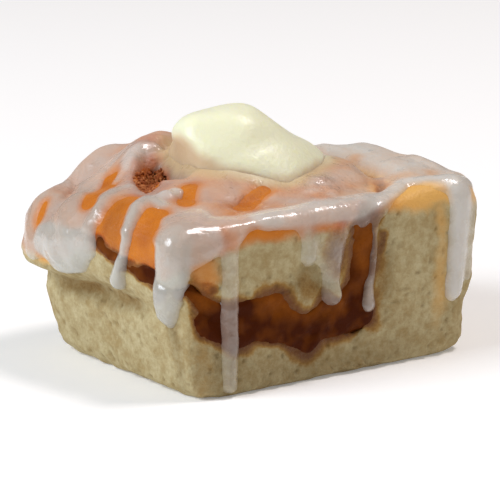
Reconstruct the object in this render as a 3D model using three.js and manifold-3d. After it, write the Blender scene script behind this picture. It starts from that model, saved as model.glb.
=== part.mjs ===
// A pull-apart cinnamon roll: coiled dough, cinnamon filling, icing with drips and a knob of butter.
// Millimetres, +Z up. The cut face that shows the filling looks along -Y. The soft side that hangs
// over its own base looks along -X. The roll stands on its flat base.
import * as THREE from "three";
import { mergeVertices } from "three/addons/utils/BufferGeometryUtils.js";
import Module from "manifold-3d";

const wasm = await Module();
wasm.setup();

// Driving dimensions of the roll
const CROWN_HEIGHT = 56.5; // at the axis
const CROWN_SPAN = { from: 0.1, to: 0.9 }; // shares of the reach over which the crown falls to the rim
const RIM_HEIGHT = { right: 54, left: 52.5, back: 57.5, front: 50.5 };
const CORNER_DROP = { frontRight: 0, frontLeft: 3, backRight: 16, backLeft: 18 }; // below the rim
const CORNER_BEGIN = 0.2; // share of the way from the middle of a side where the droop begins
const SIDE_BLEND = 0.55; // share of that way where one side's values begin to mix with the next's
const BASE = { right: 54.5, left: 43.5, back: 39.5, front: 40.5 }; // reach of the foot
const TOP = { right: 58, left: 54, back: 46, front: 41 }; // reach of the crown
const SQUARENESS = { front: 13, back: 7 }; // of the corners
const FRONT_LEFT = THREE.MathUtils.degToRad(-143); // direction of the corner between the two faces
const CORNER_TUCK = 6; // how far the crown draws in there
const CORNER_SPREAD = THREE.MathUtils.degToRad(22);
const RIM_ROUND = { right: 6, left: 13, back: 10, front: 4 }; // radius from the top into each side
const OVERHANG = { right: 0, left: 1, back: 0.8, front: 0 }; // share of each side that hangs over
const CREASE_HEIGHT = 25; // under the overhang
const CREASE_DEPTH = 2;
const CREASE_SPREAD = 3;
const FLARE = 5; // how far the sides that hang over lean out below the crease
const FOOT_ROUND = 2.5;
const GAP = 0.3; // between pieces that touch

// The coil: the filling's sheet winds inwards from the cut face, anticlockwise seen from above
const COIL_START = THREE.MathUtils.degToRad(-68);
const COIL_SWEEP = THREE.MathUtils.degToRad(256);
const COIL_OUTER = 43.7; // its distance from the axis at the cut face
const COIL_PITCH = 35.5; // nearer to the axis after each turn
const COIL_BEFORE = THREE.MathUtils.degToRad(-14); // the sheet starts in front of the cut face
const GROOVE_IN = { from: THREE.MathUtils.degToRad(8), to: THREE.MathUtils.degToRad(45) };
const GROOVE_OUT = { from: THREE.MathUtils.degToRad(228), to: THREE.MathUtils.degToRad(268) };
const GROOVE_DEPTH = 5;
const GROOVE_WIDTH = 4;
const HOLLOW_TURN = THREE.MathUtils.degToRad(216); // where the coil gapes, along the sweep
const HOLLOW_DEPTH = 4.5;
const HOLLOW_WIDTH = 3; // added to the groove's
const HOLLOW_SPREAD = THREE.MathUtils.degToRad(24);

// The filling
const SHEET_THICK = 3.4; // between the turns
const HOLLOW_THICK = 6; // added where the coil gapes
const FLOOR_THICK = 8.5; // under the inner turn
const FLOOR_HEIGHT = { left: 22.5, right: 16.5 };
const FLOOR_RIGHT = 19;
const FLOOR_BACK = 10;
const FLOOR_CLIMB = { front: 9, back: 18 }; // how far the floor rises towards the soft side
const FLOOR_EDGE = 0.2; // share of its thickness that is left at the soft side
const SOFT_EDGE = { from: -49.5, to: -33.5 }; // where it climbs and thins, across the roll
const FLOOR_LUMPS = [
  { size: 0.9, length: 23, slant: 0, shift: 1 },
  { size: 0.7, length: 13, slant: 0.5, shift: 0 },
];
const OVERRUN = 10; // how far the filling's rough sheets run past the faces that trim them
const FILLING_INSET = 0.6; // behind the faces of the dough

// The icing
const FILM_THICK = 0.9;
const FILM_END = { right: 1.55, left: 2.1, back: 1.8, front: 1.3 }; // station where the film stops
const FILM_FADE = 0.12; // stations over which it thins out
const FILM_BELOW = -1.2; // its level in the dough where it has ended
const FILM_WAVES = [
  { lobes: 5, size: 0.1, shift: 1 },
  { lobes: 11, size: 0.07, shift: 0 },
];
const PATCH_DEPTH = 3;
const DRIP_THICK = 1.7; // of a narrow drip
const DRIP_SWELL = 0.2; // a wider drip is thicker by this share of what it has over the narrow one
const NARROW_DRIP = 5;
const DRIP_SIDES = 7;
const DRIP_STEP = 6.5; // between the bends of a drip where it turns round the rim

// The butter
const BUTTER = { x: 4, y: 5, width: 42, depth: 31, height: 17.5, lean: -0.28, squareness: 2.5 };
const BUTTER_SWELL = 0.05;

// Stations down a section of the roll: 0 to 1 crosses the top, 1 to 2 turns round the rim,
// 2 to 2.5 goes down to the crease, 2.5 to 3 to the foot, and 3 to 4 back to the axis
const TOP_ROWS = 10;
const RIM_ROWS = 4;
const UPPER_ROWS = 4;
const LOWER_ROWS = 4;
const SIDE_COLUMNS = 12;
const FOOT_STATION = 2.96; // where the foot begins to round under
const COIL_STEPS = 36;

const { clamp, lerp, smoothstep } = THREE.MathUtils;
const degrees = THREE.MathUtils.degToRad;
const gauss = (share) => Math.exp(-(share ** 2));

// How far a direction leans towards the sides it faces, for a plan with its own reach to each side
function leanings(size, angle) {
  const across = Math.abs(Math.cos(angle)) / (Math.cos(angle) > 0 ? size.right : size.left);
  const along = Math.abs(Math.sin(angle)) / (Math.sin(angle) > 0 ? size.back : size.front);
  return { across, along, most: Math.max(across, along), least: Math.min(across, along) };
}

// Reach of a rounded rectangle from the axis at an angle
function outline(size, angle) {
  const { across, along } = leanings(size, angle);
  const square = Math.sin(angle) > 0 ? SQUARENESS.back : SQUARENESS.front;
  return (across ** square + along ** square) ** (-1 / square);
}

// How near an angle is to the corner between the cut face and the soft side
function frontLeftShare(angle) {
  const off = Math.acos(clamp(Math.cos(angle - FRONT_LEFT), -1, 1));
  return gauss(off / CORNER_SPREAD);
}

function crownOutline(angle) {
  return outline(TOP, angle) - CORNER_TUCK * frontLeftShare(angle);
}

// A value that is known for each side, mixed smoothly round the corners
function bySide(values, angle) {
  const { across, along, most } = leanings(TOP, angle);
  const acrossWeight = smoothstep(across / most, SIDE_BLEND, 1);
  const alongWeight = smoothstep(along / most, SIDE_BLEND, 1);
  const acrossValue = Math.cos(angle) > 0 ? values.right : values.left;
  const alongValue = Math.sin(angle) > 0 ? values.back : values.front;
  return (acrossValue * acrossWeight + alongValue * alongWeight) / (acrossWeight + alongWeight);
}

// How far the rim droops at the corner nearest to an angle
function cornerDrop(angle) {
  const { most, least } = leanings(TOP, angle);
  const end = Math.sin(angle) > 0 ? "back" : "front";
  const side = Math.cos(angle) > 0 ? "Right" : "Left";
  return CORNER_DROP[end + side] * smoothstep(least / most, CORNER_BEGIN, 1);
}

// Distance of the coil's sheet from the axis, after a turn along its sweep
function coilReach(turn) {
  return COIL_OUTER - (COIL_PITCH * turn) / (2 * Math.PI);
}

function turnAt(angle) {
  const fromBefore = angle - COIL_START - COIL_BEFORE;
  return THREE.MathUtils.euclideanModulo(fromBefore, 2 * Math.PI) + COIL_BEFORE;
}

function hollowShare(turn) {
  return gauss((turn - HOLLOW_TURN) / HOLLOW_SPREAD);
}

// Height of the top, with the groove that the coil leaves
function topHeight(x, y) {
  const reach = Math.hypot(x, y);
  const angle = Math.atan2(y, x);
  const turn = turnAt(angle);
  const out = reach / crownOutline(angle);
  const rim = bySide(RIM_HEIGHT, angle) - cornerDrop(angle) * smoothstep(out, 0.5, 1);
  const height = lerp(CROWN_HEIGHT, rim, smoothstep(out, CROWN_SPAN.from, CROWN_SPAN.to));
  const fadeIn = smoothstep(turn, GROOVE_IN.from, GROOVE_IN.to);
  const fadeOut = 1 - smoothstep(turn, GROOVE_OUT.from, GROOVE_OUT.to);
  const share = hollowShare(turn);
  const width = GROOVE_WIDTH + HOLLOW_WIDTH * share;
  const depth = (GROOVE_DEPTH + HOLLOW_DEPTH * share) * fadeIn * fadeOut;
  return height - depth * gauss((reach - coilReach(turn)) / width);
}

// Reach of the side at a height, from the rim's lowest line down to the foot
function sideReach(angle, z, shoulder) {
  const top = crownOutline(angle);
  const base = outline(BASE, angle);
  const flare = FLARE * clamp(z / CREASE_HEIGHT, 0, 1);
  const crease = base + FLARE - CREASE_DEPTH;
  const straight = lerp(base, top, z / shoulder);
  const curl = clamp((z - CREASE_HEIGHT) / (shoulder - CREASE_HEIGHT), 0, 1);
  const over = lerp(crease, top, Math.sqrt(1 - (1 - curl) ** 2));
  const under = base + flare - CREASE_DEPTH * gauss((z - CREASE_HEIGHT) / CREASE_SPREAD);
  const hung = z > CREASE_HEIGHT ? over : under;
  const foot = clamp(1 - z / FOOT_ROUND, 0, 1);
  const tuck = FOOT_ROUND * (1 - Math.sqrt(1 - foot ** 2));
  return lerp(straight, hung, bySide(OVERHANG, angle) * (1 - frontLeftShare(angle))) - tuck;
}

function skinPoint(angle, station) {
  const round = bySide(RIM_ROUND, angle);
  const edge = crownOutline(angle) - round;
  const edgeHeight = topHeight(edge * Math.cos(angle), edge * Math.sin(angle));
  const shoulder = edgeHeight - round;
  let reach = edge * station;
  let z = topHeight(reach * Math.cos(angle), reach * Math.sin(angle));
  if (station > 1 && station <= 2) {
    const bend = ((station - 1) * Math.PI) / 2;
    reach = edge + round * Math.sin(bend);
    z = edgeHeight - round * (1 - Math.cos(bend));
  } else if (station > 2 && station <= 3) {
    const upper = clamp((station - 2) * 2, 0, 1);
    const lower = clamp((station - 2.5) * 2, 0, 1);
    z = lerp(lerp(shoulder, CREASE_HEIGHT, upper), 0, lower);
    reach = sideReach(angle, z, shoulder);
  } else if (station > 3) {
    reach = sideReach(angle, 0, shoulder) * (4 - station);
    z = 0;
  }
  return new THREE.Vector3(reach * Math.cos(angle), reach * Math.sin(angle), z);
}

function skinNormal(angle, station) {
  const step = 1e-3;
  const around = skinPoint(angle + step, station).sub(skinPoint(angle - step, station));
  const down = skinPoint(angle, station + step).sub(skinPoint(angle, station - step));
  return down.cross(around).normalize();
}

// The station that lies a length down the surface from where the rim begins
function stationBelowRim(angle, length) {
  const step = 0.01;
  let station = 1;
  let gone = 0;
  while (gone < length && station < 3) {
    gone += skinPoint(angle, station).distanceTo(skinPoint(angle, station + step));
    station += step;
  }
  return station;
}

function rows() {
  const stations = [];
  const addRows = (from, to, count) => {
    for (let i = 1; i <= count; i++) stations.push(lerp(from, to, i / count));
  };
  addRows(0, 1, TOP_ROWS);
  addRows(1, 2, RIM_ROWS);
  addRows(2, 2.5, UPPER_ROWS);
  addRows(2.5, FOOT_STATION, LOWER_ROWS);
  stations.push(3);
  return stations;
}

// Directions round the axis, closer together towards the corners
function columnAngles() {
  const corners = [
    [TOP.right, -TOP.front],
    [TOP.right, TOP.back],
    [-TOP.left, TOP.back],
    [-TOP.left, -TOP.front],
  ].map(([x, y]) => new THREE.Vector2(x, y));
  return corners.flatMap((corner, side) => {
    const next = corners[(side + 1) % corners.length];
    return Array.from({ length: SIDE_COLUMNS }, (_, i) => {
      const even = i / SIDE_COLUMNS;
      const share = (even + smoothstep(even, 0, 1)) / 2;
      return corner.clone().lerp(next, share).angle();
    });
  });
}

// The roll's closed skin, moved out by offset(angle, station) along its normals
function skinSolid(offset) {
  const stations = rows();
  const angles = columnAngles();
  const columns = angles.length;
  const positions = [0, 0, topHeight(0, 0) + offset(0, 0)];
  for (const station of stations)
    for (const angle of angles) {
      const moved = skinNormal(angle, station - 1e-2).multiplyScalar(offset(angle, station));
      positions.push(...skinPoint(angle, station).add(moved).toArray());
    }
  const foot = positions.length / 3;
  positions.push(0, 0, positions.at(-1));
  const index = [];
  const at = (row, i) => 1 + row * columns + (i % columns);
  const last = stations.length - 1;
  for (let i = 0; i < columns; i++) {
    index.push(0, at(0, i), at(0, i + 1));
    index.push(foot, at(last, i + 1), at(last, i));
    for (let row = 0; row < last; row++) {
      index.push(at(row, i), at(row + 1, i), at(row + 1, i + 1));
      index.push(at(row, i), at(row + 1, i + 1), at(row, i + 1));
    }
  }
  const geometry = new THREE.BufferGeometry();
  geometry.setAttribute("position", new THREE.Float32BufferAttribute(positions, 3));
  geometry.setIndex(index);
  return solid(geometry);
}

// A closed geometry as a solid that can be joined and cut
function solid(geometry) {
  const bare = geometry.index ? geometry.toNonIndexed() : geometry.clone();
  for (const name of Object.keys(bare.attributes)) if (name !== "position") bare.deleteAttribute(name);
  const merged = mergeVertices(bare, 1e-4);
  return new wasm.Manifold(
    new wasm.Mesh({
      numProp: 3,
      vertProperties: merged.attributes.position.array,
      triVerts: new Uint32Array(merged.index.array),
    }),
  );
}

function largest(body) {
  return body.decompose().sort((a, b) => b.volume() - a.volume())[0];
}

function join(bodies) {
  return bodies.reduce((whole, body) => whole.add(body));
}

// The filling's upright sheet between the turns, drawn in by a clearance on every side
function coilSheet(clearance) {
  const inner = [];
  const outer = [];
  const end = COIL_SWEEP - clearance / coilReach(COIL_SWEEP);
  for (let i = 0; i <= COIL_STEPS; i++) {
    const turn = lerp(COIL_BEFORE, end, i / COIL_STEPS);
    const half = (SHEET_THICK + HOLLOW_THICK * hollowShare(turn)) / 2 - clearance;
    const angle = COIL_START + turn;
    const ray = new THREE.Vector2(Math.cos(angle), Math.sin(angle));
    outer.push(ray.clone().multiplyScalar(coilReach(turn) + half));
    inner.unshift(ray.clone().multiplyScalar(coilReach(turn) - half));
  }
  const floor = FLOOR_HEIGHT.right - FLOOR_THICK / 2 + clearance;
  const sheet = new THREE.ExtrudeGeometry(new THREE.Shape([...outer, ...inner]), {
    depth: CROWN_HEIGHT + OVERRUN - floor,
    bevelEnabled: false,
  });
  return solid(sheet.translate(0, 0, floor));
}

// The filling's floor under the inner turn, which climbs out at the soft side
function floorSheet(clearance) {
  const low = { x: -TOP.left - OVERRUN, y: -TOP.front - OVERRUN };
  const high = { x: FLOOR_RIGHT - clearance, y: FLOOR_BACK - clearance };
  const sheet = new THREE.BoxGeometry(high.x - low.x, high.y - low.y, 2, 18, 6, 1);
  sheet.translate((low.x + high.x) / 2, (low.y + high.y) / 2, 0);
  const spots = sheet.attributes.position;
  for (let i = 0; i < spots.count; i++) {
    const x = spots.getX(i);
    const y = spots.getY(i);
    const lumps = FLOOR_LUMPS.map(
      ({ size, length, slant, shift }) =>
        size * Math.sin((2 * Math.PI * (x + slant * y)) / length + shift),
    );
    const thick = lumps.reduce((sum, lump) => sum + lump, FLOOR_THICK);
    const soft = 1 - smoothstep(x, SOFT_EDGE.from, SOFT_EDGE.to);
    const half = (thick * lerp(1, FLOOR_EDGE, soft)) / 2 - clearance;
    const climb = lerp(FLOOR_CLIMB.front, FLOOR_CLIMB.back, smoothstep(y, -BASE.front, FLOOR_BACK));
    const share = (x + BASE.left) / (FLOOR_RIGHT + BASE.left);
    const middle = lerp(FLOOR_HEIGHT.left, FLOOR_HEIGHT.right, share) + climb * soft;
    spots.setZ(i, middle + half * spots.getZ(i));
  }
  return solid(sheet);
}

// Where each drip of icing runs: its angle round the roll, how far it runs down from the rim,
// its width and, where it leans, the angle of its tip
const drips = [
  { angle: -129.5, tip: -129.5, drop: 50, width: 4.6 },
  { angle: -95.6, tip: -95.6, drop: 19, width: 6.5 },
  { angle: -86.5, tip: -86.5, drop: 30, width: 7.5 },
  { angle: -68.4, tip: -68.4, drop: 35, width: 4.4 },
  { angle: -38, tip: -38, drop: 38, width: 7.5 },
  { angle: -12, tip: -13, drop: 22, width: 6 },
  { angle: 12, tip: 12, drop: 33, width: 6.5 },
  { angle: 62, tip: 63, drop: 27, width: 7 },
  { angle: 104, tip: 103, drop: 32, width: 6 },
  { angle: 139, tip: 140, drop: 22, width: 7.5 },
  { angle: 171, tip: 162, drop: 28, width: 11 },
  { angle: 197, tip: 187, drop: 32, width: 6 },
  { angle: 214, tip: 212, drop: 39, width: 10 },
];

// How far down from the rim the bends of a drip lie: round the rim, then down the side
function dripBends(angle, drop) {
  const rim = (bySide(RIM_ROUND, angle) * Math.PI) / 2;
  const turns = Math.round(rim / DRIP_STEP);
  const bends = Array.from({ length: turns + 1 }, (_, i) => lerp(1, rim, i / turns));
  if (bySide(OVERHANG, angle) > 0.5) bends.push((rim + drop) / 2);
  return [...bends.filter((bend) => bend < drop - 2), drop];
}

// A run of icing down the side: rounded bars that follow the skin, half sunk
function drip({ angle, tip, drop, width }) {
  const radius = width / 2 + 0.4;
  const thick = DRIP_THICK + DRIP_SWELL * Math.max(width - NARROW_DRIP, 0);
  const path = dripBends(degrees(angle), drop - radius).map((length) => {
    const at = degrees(lerp(angle, tip, length / drop));
    const station = stationBelowRim(at, length);
    return skinPoint(at, station).add(skinNormal(at, station).multiplyScalar(thick - radius));
  });
  const bars = path.slice(1).map((low, i) => {
    const run = path[i].clone().sub(low);
    const bar = new THREE.CapsuleGeometry(radius, run.length(), 2, DRIP_SIDES);
    const barAxis = new THREE.Vector3(0, 1, 0);
    bar.applyQuaternion(new THREE.Quaternion().setFromUnitVectors(barAxis, run.clone().normalize()));
    return solid(bar.translate(...low.clone().addScaledVector(run, 0.5).toArray()));
  });
  return join(bars);
}

// Places on the skin that the icing leaves bare: angle, station, and the patch's two radii
const barePatches = [
  { angle: 205, station: 1.6, across: 6, down: 10 },
  { angle: 187, station: 1.55, across: 5, down: 9 },
  { angle: 163, station: 1.1, across: 5, down: 6.5 },
  { angle: 146, station: 1.6, across: 4.5, down: 3 },
  { angle: 146, station: 0.56, across: 8, down: 8 },
  { angle: 197, station: 0.68, across: 3.5, down: 2.5 },
  { angle: -112, station: 0.7, across: 4.5, down: 3 },
  { angle: -42, station: 0.88, across: 6, down: 2.5 },
];

function barePatch({ angle, station, across, down }) {
  const at = degrees(angle);
  const normal = skinNormal(at, station);
  const around = new THREE.Vector3(-Math.sin(at), Math.cos(at), 0);
  const slope = new THREE.Vector3().crossVectors(normal, around).normalize();
  const patch = new THREE.SphereGeometry(1, 10, 6).scale(across, down, PATCH_DEPTH);
  patch.applyMatrix4(new THREE.Matrix4().makeBasis(around, slope, normal));
  return solid(patch.translate(...skinPoint(at, station).toArray()));
}

// Thickness of the film of icing over the top, negative where it has ended
function filmThickness(angle, station) {
  const waves = FILM_WAVES.map(({ lobes, size, shift }) => size * Math.sin(lobes * angle + shift));
  const end = waves.reduce((sum, wave) => sum + wave, bySide(FILM_END, angle));
  return lerp(FILM_THICK, FILM_BELOW, smoothstep(station, end - FILM_FADE, end + FILM_FADE));
}

function butterKnob() {
  const knob = new THREE.SphereGeometry(1, 20, 12).rotateX(Math.PI / 2);
  const spots = knob.attributes.position;
  for (let i = 0; i < spots.count; i++) {
    const spot = new THREE.Vector3().fromBufferAttribute(spots, i);
    const parts = spot.toArray().map((part) => Math.abs(part) ** BUTTER.squareness);
    spot.multiplyScalar((parts[0] + parts[1] + parts[2]) ** (-1 / BUTTER.squareness));
    const swell = 1 + BUTTER_SWELL * Math.sin(2 * Math.atan2(spot.y, spot.x));
    const x = (spot.x * swell * BUTTER.width) / 2 + BUTTER.lean * spot.z * BUTTER.height;
    spots.setXYZ(i, x, (spot.y * swell * BUTTER.depth) / 2, spot.z * BUTTER.height);
  }
  return solid(knob.translate(BUTTER.x, BUTTER.y, CROWN_HEIGHT));
}

function named(name, body, look) {
  const { vertProperties, triVerts } = body.getMesh();
  const geometry = new THREE.BufferGeometry();
  geometry.setAttribute("position", new THREE.BufferAttribute(vertProperties, 3));
  geometry.setIndex(new THREE.BufferAttribute(triVerts, 1));
  geometry.computeVertexNormals();
  const mesh = new THREE.Mesh(geometry, new THREE.MeshStandardMaterial(look));
  mesh.name = name;
  return mesh;
}

const roll = skinSolid(() => 0);
const slot = join([coilSheet(0), floorSheet(0)]);
const dough = largest(roll.subtract(slot));
const filling = largest(
  join([coilSheet(GAP), floorSheet(GAP)]).intersect(skinSolid(() => -FILLING_INSET)),
);
const film = skinSolid(filmThickness);
const bared = film.subtract(join(barePatches.map(barePatch)));
const icing = largest(join([bared, ...drips.map(drip)]).subtract(skinSolid(() => GAP)));
const butterSeat = skinSolid((angle, station) => Math.max(filmThickness(angle, station), 0) + GAP);
const butter = largest(butterKnob().subtract(butterSeat));

const cinnamonRoll = new THREE.Group();
cinnamonRoll.add(
  named("dough", dough, { color: 0xb9a06c, roughness: 0.85, metalness: 0 }),
  named("filling", filling, { color: 0x4a1d08, roughness: 0.3, metalness: 0 }),
  named("icing", icing, { color: 0xd9d0c6, roughness: 0.2, metalness: 0 }),
  named("butter", butter, { color: 0xeeecc8, roughness: 0.35, metalness: 0 }),
);

// The origin is on the floor, under the middle of the roll
const bounds = new THREE.Box3().setFromObject(cinnamonRoll);
const middle = bounds.getCenter(new THREE.Vector3());
cinnamonRoll.position.set(-middle.x, -middle.y, -bounds.min.z);

export default cinnamonRoll;
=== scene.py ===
import itertools
import math

import bmesh
import bpy
import numpy as np
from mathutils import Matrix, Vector
from mathutils.kdtree import KDTree


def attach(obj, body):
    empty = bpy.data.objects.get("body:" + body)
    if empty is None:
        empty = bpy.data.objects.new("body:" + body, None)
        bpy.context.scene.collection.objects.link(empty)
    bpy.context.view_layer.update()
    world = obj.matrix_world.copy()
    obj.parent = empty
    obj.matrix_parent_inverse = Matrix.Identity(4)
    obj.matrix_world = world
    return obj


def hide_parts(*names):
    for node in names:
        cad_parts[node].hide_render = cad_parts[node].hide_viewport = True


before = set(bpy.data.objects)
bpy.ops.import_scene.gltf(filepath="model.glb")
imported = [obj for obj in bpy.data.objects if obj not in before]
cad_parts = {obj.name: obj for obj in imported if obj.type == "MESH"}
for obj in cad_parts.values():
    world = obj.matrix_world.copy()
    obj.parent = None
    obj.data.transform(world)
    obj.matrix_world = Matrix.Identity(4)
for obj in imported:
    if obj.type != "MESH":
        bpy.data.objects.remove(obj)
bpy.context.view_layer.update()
scene = bpy.context.scene
mm = 0.001  # sizes below are in millimetres, Blender works in metres
weldGap = 0.002  # corners of the solids closer than this are one


# Small tools for numbers and fields

def tone(red, green, blue):  # screen values from 0 to 255 as a linear colour
    def linear(value):
        share = value / 255
        return share / 12.92 if share <= 0.04045 else ((share + 0.055) / 1.055) ** 2.4
    return linear(red), linear(green), linear(blue), 1.0


def rise(values, low, high):  # soft step from 0 at low to 1 at high
    share = np.clip((values - low) / (high - low), 0, 1)
    return share * share * (3 - 2 * share)


def ridge(values, middle, width):  # bell of height 1
    return np.exp(-((values - middle) / width) ** 2)


hashSteps = np.array([73856093, 19349663, 83492791])
hashMix = 1274126177
hashRange = 0xFFFF
seedStep = 7.31


def cloud(spots, size, seed):  # smooth random field from -1 to 1, with lumps of this size
    scaled = spots / size + seed * seedStep
    cell = np.floor(scaled).astype(np.int64)
    part = scaled - cell
    part = part * part * (3 - 2 * part)
    total = np.zeros(len(spots))
    for corner in itertools.product((0, 1), repeat=3):
        key = (cell + corner) @ hashSteps
        key = (key ^ (key >> 13)) * hashMix
        key = (key ^ (key >> 16)) & hashRange
        weight = np.prod(np.where(corner, part, 1 - part), axis=1)
        total += weight * (key / (hashRange / 2) - 1)
    return total


def blendMax(first, second, soft):  # the larger of two fields, with a fillet where they meet
    gap = np.clip(soft - np.abs(first - second), 0, None)
    return np.maximum(first, second) + gap * gap / (4 * soft)


# Small tools for meshes

def asPiece(name, mesh):
    piece = bpy.data.objects.new(name, mesh)
    scene.collection.objects.link(piece)
    return piece


def solidCopy(name, *nodeNames):  # merged copy of CAD solids; the solids stay untouched
    shape = bmesh.new()
    for nodeName in nodeNames:
        shape.from_mesh(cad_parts[nodeName].data)
    bmesh.ops.remove_doubles(shape, verts=shape.verts, dist=weldGap * mm)
    mesh = bpy.data.meshes.new(name)
    shape.to_mesh(mesh)
    shape.free()
    return asPiece(name, mesh)


def bake(piece):  # live modifiers become a plain mesh
    graph = bpy.context.evaluated_depsgraph_get()
    mesh = bpy.data.meshes.new_from_object(piece.evaluated_get(graph))
    piece.modifiers.clear()
    old = piece.data
    piece.data = mesh
    bpy.data.meshes.remove(old)


def remesh(piece, cell, softness):
    cells = piece.modifiers.new("cells", "REMESH")
    cells.mode = "VOXEL"
    cells.voxel_size = cell * mm
    soften = piece.modifiers.new("soften", "SMOOTH")
    soften.factor = 0.5
    soften.iterations = softness
    bake(piece)


def readSurface(piece):  # points in millimetres and outward directions
    count = len(piece.data.vertices)
    spots, facing = np.empty(count * 3), np.empty(count * 3)
    piece.data.vertices.foreach_get("co", spots)
    piece.data.vertices.foreach_get("normal", facing)
    return spots.reshape(-1, 3) / mm, facing.reshape(-1, 3)


def moveSurface(piece, spots):
    piece.data.vertices.foreach_set("co", (spots * mm).ravel())
    piece.data.update()


def paint(piece, name, values):  # a field that materials and node trees read
    layer = piece.data.attributes.new(name, "FLOAT", "POINT")
    layer.data.foreach_set("value", np.clip(values, 0, 1).astype(np.float32))


def joinShell(piece, shell):
    joined = bmesh.new()
    joined.from_mesh(piece.data)
    joined.from_mesh(shell.data)
    joined.to_mesh(piece.data)
    joined.free()
    bpy.data.objects.remove(shell)


def smoothShade(piece):
    piece.data.polygons.foreach_set("use_smooth", [True] * len(piece.data.polygons))
    piece.data.update()


def largestPart(piece):  # drops the closed pockets that a remesh can leave inside
    shape = bmesh.new()
    shape.from_mesh(piece.data)
    unseen, parts = set(shape.verts), []
    while unseen:
        part, edge = [], [unseen.pop()]
        while edge:
            vert = edge.pop()
            part.append(vert)
            for link in vert.link_edges:
                other = link.other_vert(vert)
                if other in unseen:
                    unseen.remove(other)
                    edge.append(other)
        parts.append(part)
    parts.sort(key=len)
    for part in parts[:-1]:
        bmesh.ops.delete(shape, geom=part, context="VERTS")
    shape.to_mesh(piece.data)
    shape.free()
    print("largest of", len(parts), "parts kept in", piece.name)


# Strokes: paths with a width and a height at each point, laid on the roll's skin

strokeSteps = 5  # short steps between two points of a path
edgeSlope = 0.8  # how fast a layer dives under the skin outside its edge
beadSteep = 0.65  # how steeply the sides of a bead fall
farOff, deepDown = 1e3, -9.0  # where no path is near
pathMargin = 6  # how far beyond its width a path is looked for


def smoothPath(points):  # rounded path through points of x, y, z, width, height
    rows = np.array(points, float)
    ends = np.vstack([2 * rows[0] - rows[1], rows, 2 * rows[-1] - rows[-2]])
    path = [rows[0]]
    for a, b, c, d in zip(ends, ends[1:], ends[2:], ends[3:]):
        for t in np.arange(1, strokeSteps + 1) / strokeSteps:
            path.append(0.5 * (2 * b + (c - a) * t + (2 * a - 5 * b + 4 * c - d) * t * t
                               + (3 * b - a - 3 * c + d) * t ** 3))
    return np.array(path)


def pointTree(spots):
    tree = KDTree(len(spots))
    for index, spot in enumerate(spots):
        tree.insert(spot, index)
    tree.balance()
    return tree


def gapTo(tree, spots):  # distance to the nearest point of a tree
    return np.array([tree.find(spot)[2] for spot in spots])


def edgeLinks(piece):
    links = np.empty(len(piece.data.edges) * 2, np.int64)
    piece.data.edges.foreach_get("vertices", links)
    return links.reshape(-1, 2)


def easeField(values, links, rounds):  # evens a field out along a mesh's edges
    if values.ndim > 1:
        return np.stack([easeField(column, links, rounds) for column in values.T], axis=1)
    first, second = links.T
    count = len(values)
    share = np.bincount(first, minlength=count) + np.bincount(second, minlength=count)
    for _ in range(rounds):
        around = np.bincount(first, values[second], count) + np.bincount(second, values[first], count)
        values = (values + around / share) / 2
    return values


def nearPath(spots, path):  # distance to a path, with its width and height there
    best = np.full(len(spots), farOff)
    sizes = np.ones((len(spots), 2))
    reach = path[:, 3].max() + pathMargin
    low, high = path[:, :3].min(0) - reach, path[:, :3].max(0) + reach
    inside = np.flatnonzero(np.all((spots > low) & (spots < high), axis=1))
    local = spots[inside]
    nearest, found = best[inside], sizes[inside]
    for a, b in zip(path, path[1:]):
        step = b[:3] - a[:3]
        t = np.clip((local - a[:3]) @ step / max(step @ step, 1e-9), 0, 1)[:, None]
        gap = np.linalg.norm(local - a[:3] - t * step, axis=1)
        closer = gap < nearest
        nearest[closer] = gap[closer]
        found[closer] = (a[3:] + t * (b[3:] - a[3:]))[closer]
    best[inside], sizes[inside] = nearest, found
    return best, sizes


def nearFlat(spots, points):  # the same, seen from above
    return nearPath(spots * (1, 1, 0), smoothPath(points) * (1, 1, 0, 1, 1))


def pathMask(spots, paths, wobble, low, high):  # marks along paths of x, y, z, width, strength
    mask = np.zeros(len(spots))
    for points in paths:
        gap, sizes = nearPath(spots, smoothPath(points))
        mask = np.maximum(mask, sizes[:, 1] * (1 - rise((gap + wobble) / sizes[:, 0], low, high)))
    return mask


def spotMask(spots, center, reach, core, wobble=0):  # 1 round a centre, 0 beyond its reach
    return 1 - rise(np.linalg.norm(spots - np.array(center), axis=1) + wobble, core * reach, reach)


def strokeHeight(spots, path, warp, steep=beadSteep):  # rounded bead, negative outside its edge
    gap, sizes = nearPath(spots, path)
    gap = gap + warp
    half = sizes[:, 0] / 2
    share = np.clip(gap / half, 0, 1)
    bead = sizes[:, 1] * (1 - share * share) ** steep
    return np.where(gap < half, bead, edgeSlope * (half - gap))


# Small tools for node trees

def feed(tree, node, inputs):  # a socket is linked, a plain value is set
    for key, value in inputs.items():
        if isinstance(value, bpy.types.NodeSocket):
            tree.links.new(value, node.inputs[key])
        else:
            node.inputs[key].default_value = value


def put(tree, kind, inputs=None, **settings):  # a new node with its settings and its inputs
    node = tree.nodes.new(kind)
    for key, value in settings.items():
        setattr(node, key, value)
    feed(tree, node, inputs or {})
    return node


def figure(tree, operation, *values):
    return put(tree, "ShaderNodeMath", dict(enumerate(values)), operation=operation).outputs[0]


def stretch(tree, value, fromLow, fromHigh, toLow=0.0, toHigh=1.0):
    ends = dict(enumerate((value, fromLow, fromHigh, toLow, toHigh)))
    return put(tree, "ShaderNodeMapRange", ends, interpolation_type="SMOOTHSTEP").outputs[0]


def mixColor(tree, amount, first, second, how="MIX"):
    colors = {0: amount, 6: first, 7: second}
    return put(tree, "ShaderNodeMix", colors, data_type="RGBA", blend_type=how).outputs[2]


def noiseAt(tree, place, size, detail=3.0, rough=0.5):
    inputs = {"Vector": place, "Scale": 1 / (size * mm), "Detail": detail, "Roughness": rough}
    return put(tree, "ShaderNodeTexNoise", inputs).outputs[0]


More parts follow.
